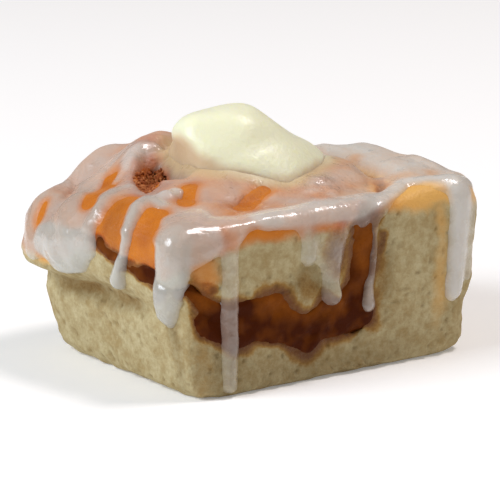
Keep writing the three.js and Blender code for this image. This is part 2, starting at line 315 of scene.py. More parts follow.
def field(tree, name):  # a field of the piece, read in a material
    return put(tree, "ShaderNodeAttribute", attribute_name=name).outputs["Fac"]


def newMaterial(name):
    material = bpy.data.materials.new(name)
    material.use_nodes = True
    tree = material.node_tree
    surface = tree.nodes["Principled BSDF"]
    place = put(tree, "ShaderNodeTexCoord").outputs["Object"]
    return material, tree, surface, place


def bumpInto(tree, surface, height, depth, strength=1.0):
    bump = put(tree, "ShaderNodeBump", {"Strength": strength, "Distance": depth * mm, "Height": height})
    feed(tree, surface, {"Normal": bump.outputs[0]})


def addInput(tree, name, kind, default=None):
    socket = tree.interface.new_socket(name, in_out="INPUT", socket_type="NodeSocket" + kind)
    if default is not None:
        socket.default_value = default


def addOutput(tree, name, kind):
    tree.interface.new_socket(name, in_out="OUTPUT", socket_type="NodeSocket" + kind)


def startTree(name, sizes, counts=()):  # a geometry tree with named inputs
    tree = bpy.data.node_groups.new(name, "GeometryNodeTree")
    addInput(tree, "Geometry", "Geometry")
    for kind, labels in (("Float", sizes), ("Int", counts), ("Material", ("Material",))):
        for label in labels:
            addInput(tree, label, kind)
    addOutput(tree, "Geometry", "Geometry")
    return tree, put(tree, "NodeGroupInput").outputs


def namedField(tree, name):  # a field of the piece, read in a geometry tree
    return put(tree, "GeometryNodeInputNamedAttribute", {"Name": name}, data_type="FLOAT").outputs[0]


def finishTree(tree, given, geometry):  # real mesh with its material
    whole = put(tree, "GeometryNodeRealizeInstances", {0: geometry}).outputs[0]
    finish = put(tree, "GeometryNodeSetMaterial", {"Geometry": whole, "Material": given["Material"]})
    put(tree, "NodeGroupOutput", {"Geometry": finish.outputs[0]})
    return tree


def dress(piece, tree, values):  # runs a node tree on a piece with its named inputs, then bakes it
    node = piece.modifiers.new(tree.name, "NODES")
    node.node_group = tree
    for item in tree.interface.items_tree:
        if item.in_out == "INPUT" and item.name in values:
            node[item.identifier] = values[item.name]
    bake(piece)


# Baked dough: crumb, crust, caramel stain and painted shade, shared by the dough and by the icing over it

bakedLook = {
    "Crumb Pale": tone(194, 181, 142),
    "Crumb Deep": tone(164, 142, 97),
    "Crust Gold": tone(206, 120, 30),
    "Crust Brown": tone(172, 88, 22),
    "Crust Tan": tone(230, 177, 97),
    "Caramel": tone(104, 54, 10),
    "Soaked": (0.82, 0.58, 0.28, 1.0),  # tints the crumb round the caramel
    # Shaded is multiplied in as painted shade where the Shade mask is set
    "Shaded": tone(206, 200, 190),
}
bakedMasks = ("Crust", "Tan", "Stain", "Shade", "Pore")


def makeBakedGroup():
    tree = bpy.data.node_groups.new("bakedDough", "ShaderNodeTree")
    addInput(tree, "Place", "Vector")
    for name in bakedMasks:
        addInput(tree, name, "Float", 0.0)
    for name, color in bakedLook.items():
        addInput(tree, name, "Color", color)
    addOutput(tree, "Color", "Color")
    addOutput(tree, "Height", "Float")
    given = put(tree, "NodeGroupInput").outputs
    broad = noiseAt(tree, given["Place"], 9.0, 2.0)
    patchy = noiseAt(tree, given["Place"], 3.2, 3.0)
    fine = noiseAt(tree, given["Place"], 0.9, 4.0, 0.6)
    grain = noiseAt(tree, given["Place"], 1.7, 3.0, 0.7)
    uneven = figure(tree, "MULTIPLY_ADD", patchy, 0.6, figure(tree, "MULTIPLY", grain, 0.6))
    uneven = figure(tree, "MULTIPLY_ADD", broad, 0.4, uneven)
    crumb = mixColor(tree, stretch(tree, uneven, 0.54, 1.06), given["Crumb Pale"], given["Crumb Deep"])
    crumb = mixColor(tree, stretch(tree, fine, 0.5, 0.72, 0.0, 0.4), crumb, given["Crumb Deep"])
    browned = stretch(tree, broad, 0.35, 0.75, 0.0, 0.7)
    crust = mixColor(tree, browned, given["Crust Gold"], given["Crust Brown"])
    crust = mixColor(tree, stretch(tree, patchy, 0.5, 0.8, 0.0, 0.3), crust, given["Crust Brown"])
    crust = mixColor(tree, given["Tan"], crust, given["Crust Tan"])
    edge = figure(tree, "ADD", given["Crust"], figure(tree, "MULTIPLY_ADD", patchy, 0.3, -0.15))
    color = mixColor(tree, stretch(tree, edge, 0.05, 0.95), crumb, crust)
    soak = figure(tree, "ADD", given["Stain"], figure(tree, "MULTIPLY_ADD", fine, 0.3, -0.15))
    color = mixColor(tree, stretch(tree, soak, 0.02, 0.5), color, given["Soaked"], "MULTIPLY")
    color = mixColor(tree, stretch(tree, soak, 0.25, 1.0), color, given["Caramel"])
    # painted shade: the colour is darkened where the Shade mask is set
    color = mixColor(tree, given["Shade"], color, given["Shaded"], "MULTIPLY")
    # painted shade in the pits: the crumb is darkened in its pores
    pore = figure(tree, "MULTIPLY", given["Pore"], 0.45)
    color = mixColor(tree, pore, color, given["Crumb Deep"], "MULTIPLY")
    height = figure(tree, "ADD", fine, figure(tree, "MULTIPLY", patchy, 0.6))
    put(tree, "NodeGroupOutput", {"Color": color, "Height": height})
    return tree


bakedGroup = makeBakedGroup()


def placeBaked(tree, place, *masks):  # each mask is a field of that name on the piece
    inputs = {mask: field(tree, mask.lower()) for mask in masks}
    return put(tree, "ShaderNodeGroup", dict(inputs, Place=place), node_tree=bakedGroup).outputs


# The roll's own unevenness, one field for every layer so that they stay together

rollForm = {
    "swell": 0.9, "swellSize": 19,
    "dimple": 0.22, "dimpleSize": 6.5,
    "heave": 0.7, "heaveSize": 12,
    "core": 12,  # nothing moves sideways in the middle of the roll
    # torn sides and a ragged foot, and the heights between which they end
    "torn": 0.3, "tornFade": (28, 42), "footTorn": 0.7, "footTornFade": (1, 8), "tornSize": 3.4,
    # heights between which the top's heave, its bulges, its folds and the sides' swelling set in
    "topFade": (30, 48), "bulgeFade": (26, 38), "foldFade": (34, 44), "footFade": (0, 5),
    # the middle turn swells up under the butter: centre, long way, half length, half width, soft edge, height
    "mound": ((-3, 9), (0.81, -0.587), 18, 12, 15, 6.4),
    # bulges of the top: centre, reach, height
    "bulges": (((-47, 35), 17, 6.0), ((-25, 41), 14, 3.8), ((-13, 4), 14, 2.4), ((52, -26), 13, -2.0),
               ((38, 14), 12, 1.8), ((55, -40), 9, -3)),
    # the rim hangs over the left wall: height of the crease, overhang, hollow under it, the middle and half
    # width of both from the crease, its span in x, and where it starts and the hollow ends in y
    "lip": (25.2, 0.7, 1.6, (3, 2.2), (-1.8, 2.4), (40, 48), (-36, -24), (12, 26)),
    # the back left of the wall stands out a little: how far, and its spans in x, y and height
    "hip": (2, (38, 48), (2, 24), (26, 33)),
    # so does the right end of the front, above the foot
    "brow": (2.4, (42, 53), (0, 24), (11, 24)),
    # torn end of the outer turn at the corner, and a tongue over the filling: centre, reach, up, out
    "tabs": (((-45.4, -38.4), 6.4, 6, 1.2), ((-9.6, -43), 10, -2.8, 0)),
    "tabFade": ((5, 20), (26, 36.5), (24, 29)),  # heights where they start, end, and stop standing out
    # the gap between the turns, left open beside the middle: x, y, z, width, depth
    "gap": [(-37, -6, 52, 6, 0.4), (-32, 2, 52, 10, 2.0), (-27, 9.5, 52, 11, 3.2),
            (-22, 16.5, 52, 10, 2.6), (-17, 22, 52, 7, 0.6)],
    # where the gap goes on as a shut fold round the roll, and a crease behind the corner bulge
    "folds": [[(-13, 21, 52, 7, 1.6), (-2, 26, 52, 6, 1.4), (14, 24.5, 52, 6, 1.4), (28, 14.6, 52, 6, 1.6),
               (35.5, -2.4, 52, 8, 1.6), (34.5, -13, 52, 9, 1.5), (29, -22, 52, 9, 0.7),
               (24, -29, 52, 6, 0.1)],
              [(-47, 25, 45, 4, 0.6), (-39, 31, 45, 5, 2.0), (-33, 38, 45, 5, 1.6)],
              [(-34, -9, 53, 5, 0.5), (-30, -16, 53, 6, 1.0), (-22, -24, 53, 6, 0.7), (-14, -26, 53, 7, 1.2),
               (-5, -22, 53, 6, 0.5)]],
    # the seam on the left wall sits higher: lift, the heights it fades between, its span in x, both ends in y
    "seam": (2.2, (22, 30), (42, 49), (38, 46), (-40, -30), (2, 14)),
    # the filling's upright band leans left towards the floor: middle, reach, span in y, top, lean per mm
    "band": (13, 15, (24, 36), 47, 0.14),
    # the skin that every layer lies on: cell, softness, evening of its directions and of its grooves
    "skinCell": 0.62, "skinSoftness": 14, "facingRounds": 8, "grooveRounds": 60, "grooveMost": 3,
}


def foldDepth(spots, points):  # how far a fold presses the top down
    gap, sizes = nearFlat(spots, points)
    share = np.clip((gap + 0.9 * cloud(spots, 3.5, 4)) / (sizes[:, 0] / 2), 0, 1)
    return sizes[:, 1] * (1 - rise(share, 0.1, 1)) * rise(spots[:, 2], *rollForm["foldFade"])


def gapDepth(spots):
    return foldDepth(spots, rollForm["gap"])


def moundHeight(spots):
    (x, y), (wayX, wayY), length, width, soft, height = rollForm["mound"]
    along = np.abs((spots[:, 0] - x) * wayX + (spots[:, 1] - y) * wayY)
    across = np.abs((spots[:, 1] - y) * wayX - (spots[:, 0] - x) * wayY)
    outside = np.hypot(np.clip(along - length + width, 0, None), across) - width
    return height * rise(-outside, -soft, 0)


def unevenRoll(spots):
    right, back, high = spots.T
    flat = spots * (1, 1, 0)
    outward = flat / np.maximum(np.linalg.norm(flat, axis=1), rollForm["core"])[:, None]
    sideways = (rollForm["swell"] * cloud(spots, rollForm["swellSize"], 1)
                + rollForm["dimple"] * cloud(spots, rollForm["dimpleSize"], 2))
    upward = rollForm["heave"] * cloud(flat, rollForm["heaveSize"], 3) + moundHeight(spots)
    upward = upward * rise(high, *rollForm["topFade"])
    lift, lower, upper, wall, start, end = rollForm["seam"]
    upward += lift * rise(high, *lower) * (1 - rise(high, *upper)) * (
        rise(-right, *wall) * rise(back, *start) * (1 - rise(back, *end)))
    for (x, y), reach, height in rollForm["bulges"]:
        near = rise(-np.hypot(right - x, back - y), -reach, 0)
        upward += height * near * rise(high, *rollForm["bulgeFade"])
    for points in rollForm["folds"]:
        upward -= foldDepth(spots, points)
    crease, over, under, overForm, underForm, wall, start, end = rollForm["lip"]
    above = high - crease
    left = rise(-right, *wall) * rise(back, *start)
    under = under * (1 - 0.95 * rise(back, *end))
    sideways += left * (over * ridge(above, *overForm) - under * ridge(above, *underForm))
    out, wall, start, end = rollForm["hip"]
    sideways += out * rise(-right, *wall) * rise(back, *start) * (1 - rise(high, *end))
    out, wall, start, end = rollForm["brow"]
    sideways += out * rise(right, *wall) * rise(-back, *start) * rise(high, *end)
    lower, upper, outer = rollForm["tabFade"]
    for (x, y), reach, up, out in rollForm["tabs"]:
        near = rise(-np.hypot(right - x, back - y), -reach, 0)
        upward += up * near * rise(high, *lower) * (1 - rise(high, *upper))
        sideways += out * near * (1 - rise(high, *outer))
    lifted = rise(high, *rollForm["footFade"])
    torn = (rollForm["torn"] * (1 - rise(high, *rollForm["tornFade"]))
            + rollForm["footTorn"] * (1 - rise(high, *rollForm["footTornFade"])))
    sideways = sideways * lifted + torn * cloud(spots, rollForm["tornSize"], 5)
    moved = spots + outward * sideways[:, None]
    moved[:, 2] += upward - gapDepth(spots)
    middle, reach, start, top, lean = rollForm["band"]
    near = rise(-np.abs(right - middle), -reach, -0.3 * reach) * rise(-back, *start)
    moved[:, 0] -= lean * np.clip(top - high, 0, None) * near * lifted
    return moved


rollSkin = solidCopy("rollSkin", "dough", "filling")
remesh(rollSkin, rollForm["skinCell"], rollForm["skinSoftness"])
largestPart(rollSkin)
skinSpots, _ = readSurface(rollSkin)
skinGap = gapDepth(skinSpots)
moveSurface(rollSkin, unevenRoll(skinSpots))
skinSpots, skinFacing = readSurface(rollSkin)
skinTree = pointTree(skinSpots)
skinLinks = edgeLinks(rollSkin)
skinFacing = easeField(skinFacing, skinLinks, rollForm["facingRounds"])
skinFacing /= np.linalg.norm(skinFacing, axis=1)[:, None]
evened = easeField(skinSpots, skinLinks, rollForm["grooveRounds"])
skinGroove = np.clip(np.einsum("ij,ij->i", evened - skinSpots, skinFacing), 0, rollForm["grooveMost"])
print("roll skin:", len(skinSpots), "points")


# Layers on the skin

def onSkin(points):  # lays a rounded path on the skin and takes the jitter out of it
    path = smoothPath(points)
    for row in path:
        row[:3] = skinSpots[skinTree.find(row[:3])[1]]
    for _ in range(2):
        path[1:-1, :3] = (path[:-2, :3] + 2 * path[1:-1, :3] + path[2:, :3]) / 4
    return path


def strokeLayer(paths, warp, fillet, steep=beadSteep):  # strokes run together into one height field
    height = np.full(len(skinSpots), deepDown)
    for points in paths:
        height = blendMax(height, strokeHeight(skinSpots, onSkin(points), warp, steep), fillet)
    return height


def layerShell(name, height, sunk):  # closed shell from a height field, its lower face sunk in the roll
    lowest = -0.5 * sunk
    keep = height > lowest
    loops = np.empty(len(rollSkin.data.loops), np.int64)
    rollSkin.data.loops.foreach_get("vertex_index", loops)
    quads = loops.reshape(-1, 4)
    quads = quads[keep[quads].all(axis=1)]
    used = np.unique(quads)
    place = np.full(len(skinSpots), -1)
    place[used] = np.arange(len(used))
    outer = place[quads]
    above = skinSpots[used] + skinFacing[used] * np.maximum(height[used], lowest)[:, None]
    below = skinSpots[used] - skinFacing[used] * sunk
    edges = np.stack([outer, np.roll(outer, -1, axis=1)], axis=2).reshape(-1, 2)
    known = set(map(tuple, edges.tolist()))
    rim = np.array([(a, b) for a, b in known if (b, a) not in known])
    lower = outer[:, ::-1] + len(used)
    wall = np.stack([rim[:, 1], rim[:, 0], rim[:, 0] + len(used), rim[:, 1] + len(used)], axis=1)
    mesh = bpy.data.meshes.new(name)
    faces = np.vstack([outer, lower, wall])
    mesh.from_pydata((np.vstack([above, below]) * mm).tolist(), [], faces.tolist())
    mesh.update()
    return asPiece(name, mesh), np.concatenate([used, used])


# Cinnamon filling: the coiled sheet and its floor, with what has oozed out at the faces

fillingLook = {
    "cell": 0.75, "softness": 2, "joinSoftness": 3, "sunk": 1.6, "fillet": 0.4,
    "lump": 0.4, "lumpSize": 4.2, "grain": 0.15, "grainSize": 1.8,
    "sink": 0.9, "sinkFade": (44, 48),  # it lies a little deeper at the top of its slot
    "dark": tone(68, 25, 3), "amber": tone(130, 69, 16), "lumps": 7, "glint": 0.3, "specular": 0.04,
    # clearer, amber stretches: x, y, z, width, strength
    "glow": [[(13, -43, 46, 10, 1.0), (12.5, -43, 36, 10, 0.8), (10, -43, 28, 8, 0.2)],
             [(-23, -42.7, 24.5, 6, 0.7), (-19, -42.7, 25.5, 8, 0.9), (-13, -42.7, 21.5, 7, 0.6)],
             [(-8, -43, 20.5, 6, 0.5), (3, -42.8, 21.5, 7, 0.6)],
             [(-45, -38.5, 30.5, 4, 0.6), (-40, -40.6, 27.6, 5, 0.6)],
             [(-54, -7, 40, 5, 0.6), (-52, -18, 37, 5, 0.5)]],
    # oozing paths on the faces: x, y, z, width, height
    "ooze": [
        [(13, -43, 45, 6.5, 0.3), (12, -43, 35, 7.5, 0.7), (9.5, -43, 25.5, 7, 0.8), (8, -43, 19, 6, 0.7)],
        [(-35, -41, 20.5, 9, 0.7), (-22.5, -42, 19.4, 10, 0.8), (-9, -42.5, 17.5, 8, 0.8),
         (5, -42.5, 16.7, 9, 0.9), (13, -42.5, 17.4, 6, 0.6)],
        [(-23.5, -42.7, 24.6, 5, 0.5), (-19, -42.7, 25.6, 6, 0.6), (-16, -42.7, 23.6, 4.5, 0.5)],
        [(-21, -42.8, 17.4, 5, 0.5), (-14, -42.8, 14.8, 6, 0.6), (-8, -42.8, 11.8, 6, 0.7),
         (-4, -43, 13.6, 5, 0.6)],
        [(-4, -43, 14, 5, 0.6), (3, -43, 13.6, 5, 0.7)],
        [(-37, -42, 24.6, 4, 0.5), (-31, -42.6, 25.4, 4, 0.6), (-25, -42.7, 25, 4, 0.5)],
        [(-3, -43, 21.6, 4, 0.5), (2, -43, 22.4, 4.6, 0.6), (7, -43, 23, 5, 0.6)],
        [(-46, -37.6, 31.5, 3, 0.5), (-43.4, -39.2, 29.4, 4.4, 0.6), (-40, -40.6, 27.4, 4.4, 0.6),
         (-36, -41.6, 26, 4, 0.5)],
        [(-42.6, -39.8, 24.6, 3.6, 0.5), (-41.8, -40.6, 22, 6, 0.6), (-37.4, -41.8, 20.6, 7.6, 0.7),
         (-31, -42, 19, 9, 0.7)],
        [(-54.5, -5.8, 41.5, 3.4, 0.3), (-53.6, -8, 38.6, 3.6, 0.4), (-52, -18.6, 36.6, 3.2, 0.3),
         (-50.6, -23.8, 35, 4, 0.4), (-48.6, -32, 31.4, 2.6, 0.3)],
    ],
}


def makeFilling():
    warp = cloud(skinSpots, 4.5, 21) + 0.3 * cloud(skinSpots, 2, 22)
    ooze = strokeLayer(fillingLook["ooze"], warp, fillingLook["fillet"])
    shell, _ = layerShell("ooze", ooze, fillingLook["sunk"])
    piece = solidCopy("cinnamonFilling", "filling")
    remesh(piece, fillingLook["cell"], fillingLook["softness"])
    moveSurface(piece, unevenRoll(readSurface(piece)[0]))
    joinShell(piece, shell)
    remesh(piece, fillingLook["cell"], fillingLook["joinSoftness"])
    spots, facing = readSurface(piece)
    bulge = (fillingLook["lump"] * cloud(spots, fillingLook["lumpSize"], 23)
             + fillingLook["grain"] * cloud(spots, fillingLook["grainSize"], 24))
    bulge -= fillingLook["sink"] * rise(spots[:, 2], *fillingLook["sinkFade"])
    moveSurface(piece, spots + facing * bulge[:, None])
    paint(piece, "glow", pathMask(spots, fillingLook["glow"], 0, 0.1, 0.9))
    smoothShade(piece)
    return piece, ooze


def fillingMaterial(name, look):
    material, tree, surface, place = newMaterial(name)
    broad = noiseAt(tree, place, look["lumps"], 2.0)
    fine = noiseAt(tree, place, 1.1, 4.0, 0.6)
    clear = figure(tree, "ADD", field(tree, "glow"), stretch(tree, broad, 0.35, 0.7, -0.15, 0.35))
    color = mixColor(tree, clear, look["dark"], look["amber"])
    color = mixColor(tree, stretch(tree, fine, 0.5, 0.75, 0.0, 0.25), color, look["dark"])
    rough = stretch(tree, fine, 0.3, 0.7, look["glint"], 0.6)
    feed(tree, surface, {"Base Color": color, "Roughness": rough, "Specular IOR Level": look["specular"]})
    bumpInto(tree, surface, figure(tree, "ADD", fine, broad), 0.4, 0.5)
    return material


cinnamonFilling, skinOoze = makeFilling()
caramel = fillingMaterial("cinnamonCaramel", fillingLook)
cinnamonFilling.data.materials.append(caramel)
print("filling:", len(cinnamonFilling.data.polygons), "faces")


# Dough: pale torn crumb below, browned crust above

doughLook = {
    "cell": 0.86, "softness": 12,
    "Pore Size": 2.3 * mm, "Pore Depth": 0.45 * mm, "Pore Share": 0.3,
    "Crumb Size": 2.2 * mm, "Crumb Depth": 0.3 * mm,
    "crumbRough": 0.9, "crustRough": 0.34, "specular": 0.25,
    # the crust ends at these heights: y along the left and right, x along the front and back, against height
    "crustLine": {
        "left": ((-40, 34), (-24, 36.5), (-8, 40.5), (4, 38), (16, 31), (40, 30)),
        "front": ((-40, 42), (-30, 44.6), (-12, 44.2), (-5, 45), (4, 44.4), (12, 45.5), (20, 48.5),
                  (26, 46), (48, 46)),
        "right": ((-40, 46.5), (10, 46.5), (20, 42.5), (28, 38.5), (42, 32)),
        "back": ((-45, 34), (-20, 43), (20, 45), (28, 42), (36, 38), (44, 34)),
    },
    "paleFlap": ((-40.5, -40, 36), 9, 0.36),  # paler crust at the near corner: centre, reach, strength
    # how softly the crust ends, where it gets paler to the right and low down, and the painted shade at the
    # foot of the front
    "crustSoft": (-3.2, 2.4), "tanRight": (4, 34), "tanLow": (28, 34), "footShade": 0.8, "footFade": (4, 21),
    "stainReach": 3.4, "stainMost": 0.85, "gapStain": 0.6,
    # caramel specks away from the filling: x, y, z, width, strength; the last path, under the rim on the left
    # wall, adds a brown tint to the painted shade there
    "specks": [[(19.6, -43.3, 39.8, 3.4, 0.75), (18.6, -43.3, 36, 3.2, 0.75)],
               [(-39, -40, 32, 3, 0.8), (-44, -38, 34, 3, 0.7)],
               [(5, -43.3, 44.5, 7, 0.4), (3.2, -43.3, 39, 10, 0.75), (3.4, -43.3, 34.6, 8.5, 0.7)],
               [(-48, -33.4, 22, 3, 0.16), (-47.7, -34.8, 19.5, 3.4, 0.18)],
               [(-9, -43.3, 31.5, 4, 0.3), (-7.5, -43.3, 28, 5.5, 0.4), (-5, -43.3, 27, 5, 0.35)],
               [(-48.9, 22, 23.2, 3.4, 0.16), (-48.2, 16, 23.8, 4, 0.24), (-47.4, 10, 24.2, 4.2, 0.3),
                (-47.1, 5, 24.8, 4, 0.28), (-47.2, -1, 24.8, 3.4, 0.12), (-47.3, -10, 24.9, 4, 0.26),
                (-47.3, -15, 24.4, 3.6, 0.24)]],
    # painted shade under the rim on the left wall, and darker stretches below the corner drip, right of the
    # upright band, over the tongue by the filling and on the crust, as above
    "dull": [[(-48, -32, 22.5, 5, 0.95), (-47.6, -33.6, 18, 6.4, 0.95), (-47.2, -34, 14, 6, 0.6),
              (-46.4, -34.6, 9, 5.5, 0.6), (-46.2, -34.6, 3, 6, 0.5)],
             [(-48.9, 24, 22.5, 5, 0.6), (-48.9, 20.5, 22, 6, 0.8), (-48, 14, 22.5, 6.5, 1),
              (-47.3, 8, 23, 7, 1),
              (-47.2, 0, 23.5, 7, 0.9), (-47.1, -5, 23, 7, 0.9), (-47.4, -12, 23.8, 6, 0.9),
              (-47.6, -20, 23.5, 4.5, 0.5)],
             [(20, -43.3, 45, 6, 0.5), (19.6, -43.3, 34, 8, 0.65), (18.6, -43.3, 22, 9, 0.65)],
             [(-12, -43.3, 30, 6, 0.5), (-7.5, -43.3, 30, 11, 0.95), (-3, -43.3, 29, 6, 0.7)],
             [(-48, -6.5, 52, 6, 0.4), (-51, -9, 49, 8, 0.6), (-53.4, -10.6, 45, 8, 0.6),
              (-53.8, -10.6, 42, 7, 0.6)]],
    # toasted edges: x, y, z, width, strength
    "toast": [[(-43, -39, 22, 5, 0.25), (-42.6, -40, 12, 6, 0.25), (-42, -40, 2, 6, 0.25)],
              [(41.2, -43, 44, 5, 0.5), (42, -43, 32, 5, 0.45), (41.4, -43, 20, 7, 0.45),
               (40, -43, 11, 6, 0.3)],
              [(-43, -39, 41, 8, 0.9), (-40.5, -39.7, 36, 8, 0.8), (-40, -40, 32.5, 6, 0.6)],
              [(52, -40, 45, 5, 0.3), (52, -40, 30, 4, 0.2), (51.5, -40, 12, 4, 0.2)]],
}


halfLength, halfWidth = 57, 45  # of the roll
leastPull, pullPower = 0.02, 6  # how sharply one side's line gives way to the next


def edgeHeight(spots, lines):  # the height of an edge round the roll, blended from side to side
    x, y = spots[:, 0], spots[:, 1]
    pulls = {"right": (x / halfLength, y), "left": (-x / halfLength, y),
             "back": (y / halfWidth, x), "front": (-y / halfWidth, x)}
    total = weights = 0
    for side, (pull, along) in pulls.items():
        weight = np.clip(pull, leastPull, None) ** pullPower
        total = total + weight * np.interp(along, *zip(*lines[side]))
        weights = weights + weight
    return total / weights


def crustMask(spots):
    edge = edgeHeight(spots, doughLook["crustLine"]) + 1.3 * cloud(spots, 5, 31) + 0.6 * cloud(spots, 2, 32)
    toasted = pathMask(spots, doughLook["toast"], 1.2 * cloud(spots, 4, 33), 0.1, 1)
    return np.maximum(rise(spots[:, 2] - edge, *doughLook["crustSoft"]), toasted)


def tanMask(spots):  # the crust is paler towards the right, at the near corner and low on the walls
    right = rise(spots[:, 0] + 6 * cloud(spots, 9, 35), *doughLook["tanRight"])
    top = rise(spots[:, 2], 50, 52) * rise(spots[:, 1], -40, -33)
    center, reach, strength = doughLook["paleFlap"]
    flap = strength * spotMask(spots, center, reach, 0.3)
    return np.maximum(np.maximum(right * (1 - 0.6 * top), flap), 1 - rise(spots[:, 2], *doughLook["tanLow"]))


stainTree = pointTree(readSurface(cinnamonFilling)[0])


def stainMask(spots):  # caramel soaked into the dough beside the filling
    gap = gapTo(stainTree, spots)
    reach = doughLook["stainReach"] * (1 + 0.8 * cloud(spots, 5, 34) + 0.3 * cloud(spots, 2, 36))
    reach = reach * (1 - 0.65 * rise(-spots[:, 0], 44, 49))
    soaked = doughLook["stainMost"] * (1 - rise(gap / np.maximum(reach, 0.8), 0.05, 1)) ** 1.3
    return np.maximum(soaked, pathMask(spots, doughLook["specks"], 0.5 * cloud(spots, 1.6, 37), 0.2, 0.9))


def shadeMask(spots):  # painted shade at the foot of the front and under the rim, and a few darker stretches
    left = 6 * (1 - rise(spots[:, 0], -38, -26))
    low = 1 - rise(spots[:, 2] + 4 * cloud(spots, 8, 38) - left, *doughLook["footFade"])
    foot = doughLook["footShade"] * low * rise(-spots[:, 1], 35, 42) * (1 - 0.9 * rise(spots[:, 0], 16, 42))
    return np.maximum(foot, pathMask(spots, doughLook["dull"], cloud(spots, 4, 39), 0.1, 0.8))


def makeCrumbTree():
    sizes = ("Pore Size", "Pore Depth", "Pore Share", "Crumb Size", "Crumb Depth")
    tree, given = startTree("crumbRelief", sizes)
    spot = put(tree, "GeometryNodeInputPosition").outputs[0]
    bared = namedField(tree, "crumb")
    scale = figure(tree, "DIVIDE", 1.0, given["Pore Size"])
    pores = put(tree, "ShaderNodeTexVoronoi", {"Vector": spot, "Scale": scale, "Smoothness": 0.25},
                feature="SMOOTH_F1").outputs
    chance = put(tree, "FunctionNodeSeparateColor", {0: pores["Color"]}).outputs[0]
    chosen = figure(tree, "LESS_THAN", chance, given["Pore Share"])
    pit = figure(tree, "MULTIPLY", stretch(tree, pores["Distance"], 0.12, 0.46, 1.0, 0.0), chosen)
    pit = figure(tree, "MULTIPLY", pit, bared)
    scale = figure(tree, "DIVIDE", 1.0, given["Crumb Size"])
    crumb = put(tree, "ShaderNodeTexNoise", {"Vector": spot, "Scale": scale, "Detail": 2.0}).outputs[0]
    lump = figure(tree, "MULTIPLY", figure(tree, "SUBTRACT", crumb, 0.5), given["Crumb Depth"])
    lump = figure(tree, "MULTIPLY", figure(tree, "MULTIPLY", lump, 2.0), bared)
    depth = figure(tree, "SUBTRACT", lump, figure(tree, "MULTIPLY", pit, given["Pore Depth"]))
    normal = put(tree, "GeometryNodeInputNormal").outputs[0]
    push = put(tree, "ShaderNodeVectorMath", {0: normal, "Scale": depth}, operation="SCALE").outputs[0]
    mark = {"Geometry": given["Geometry"], "Name": "pore", "Value": pit}
    marked = put(tree, "GeometryNodeStoreNamedAttribute", mark, data_type="FLOAT", domain="POINT").outputs[0]
    moved = put(tree, "GeometryNodeSetPosition", {"Geometry": marked, "Offset": push}).outputs[0]
    return finishTree(tree, given, moved)


def doughMaterial(look):
    material, tree, surface, place = newMaterial("bakedCrumb")
    baked = placeBaked(tree, place, *bakedMasks)
    glossy = figure(tree, "MAXIMUM", field(tree, "crust"), field(tree, "stain"))
    rough = stretch(tree, glossy, 0.2, 0.9, look["crumbRough"], look["crustRough"])
    feed(tree, surface, {"Base Color": baked["Color"], "Roughness": rough,
                         "Specular IOR Level": look["specular"]})
    bumpInto(tree, surface, baked["Height"], 0.5, 0.7)
    return material


def makeDough():
    piece = solidCopy("rollDough", "dough")
    remesh(piece, doughLook["cell"], doughLook["softness"])
    moveSurface(piece, unevenRoll(readSurface(piece)[0]))
    spots, _ = readSurface(piece)
    crust = crustMask(spots)
    inGap = doughLook["gapStain"] * rise(gapDepth(spots), 0.8, 2.6)
    lifted = rise(spots[:, 2], 0.2, 1.5)  # the foot stays flat
    # shade holds painted shade at the foot of the front and under the rim, and a few darker stretches
    for name, mask in (("crust", crust), ("tan", tanMask(spots)),
                       ("stain", np.maximum(stainMask(spots), inGap)), ("shade", shadeMask(spots)),
                       ("crumb", (1 - 0.85 * rise(crust, 0.3, 0.9)) * lifted)):
        paint(piece, name, mask)
    dress(piece, makeCrumbTree(), dict(doughLook, Material=doughMaterial(doughLook)))
    smoothShade(piece)
    return piece


rollDough = makeDough()
print("dough:", len(rollDough.data.polygons), "faces")


# Butter: a soft knob that melts at its foot

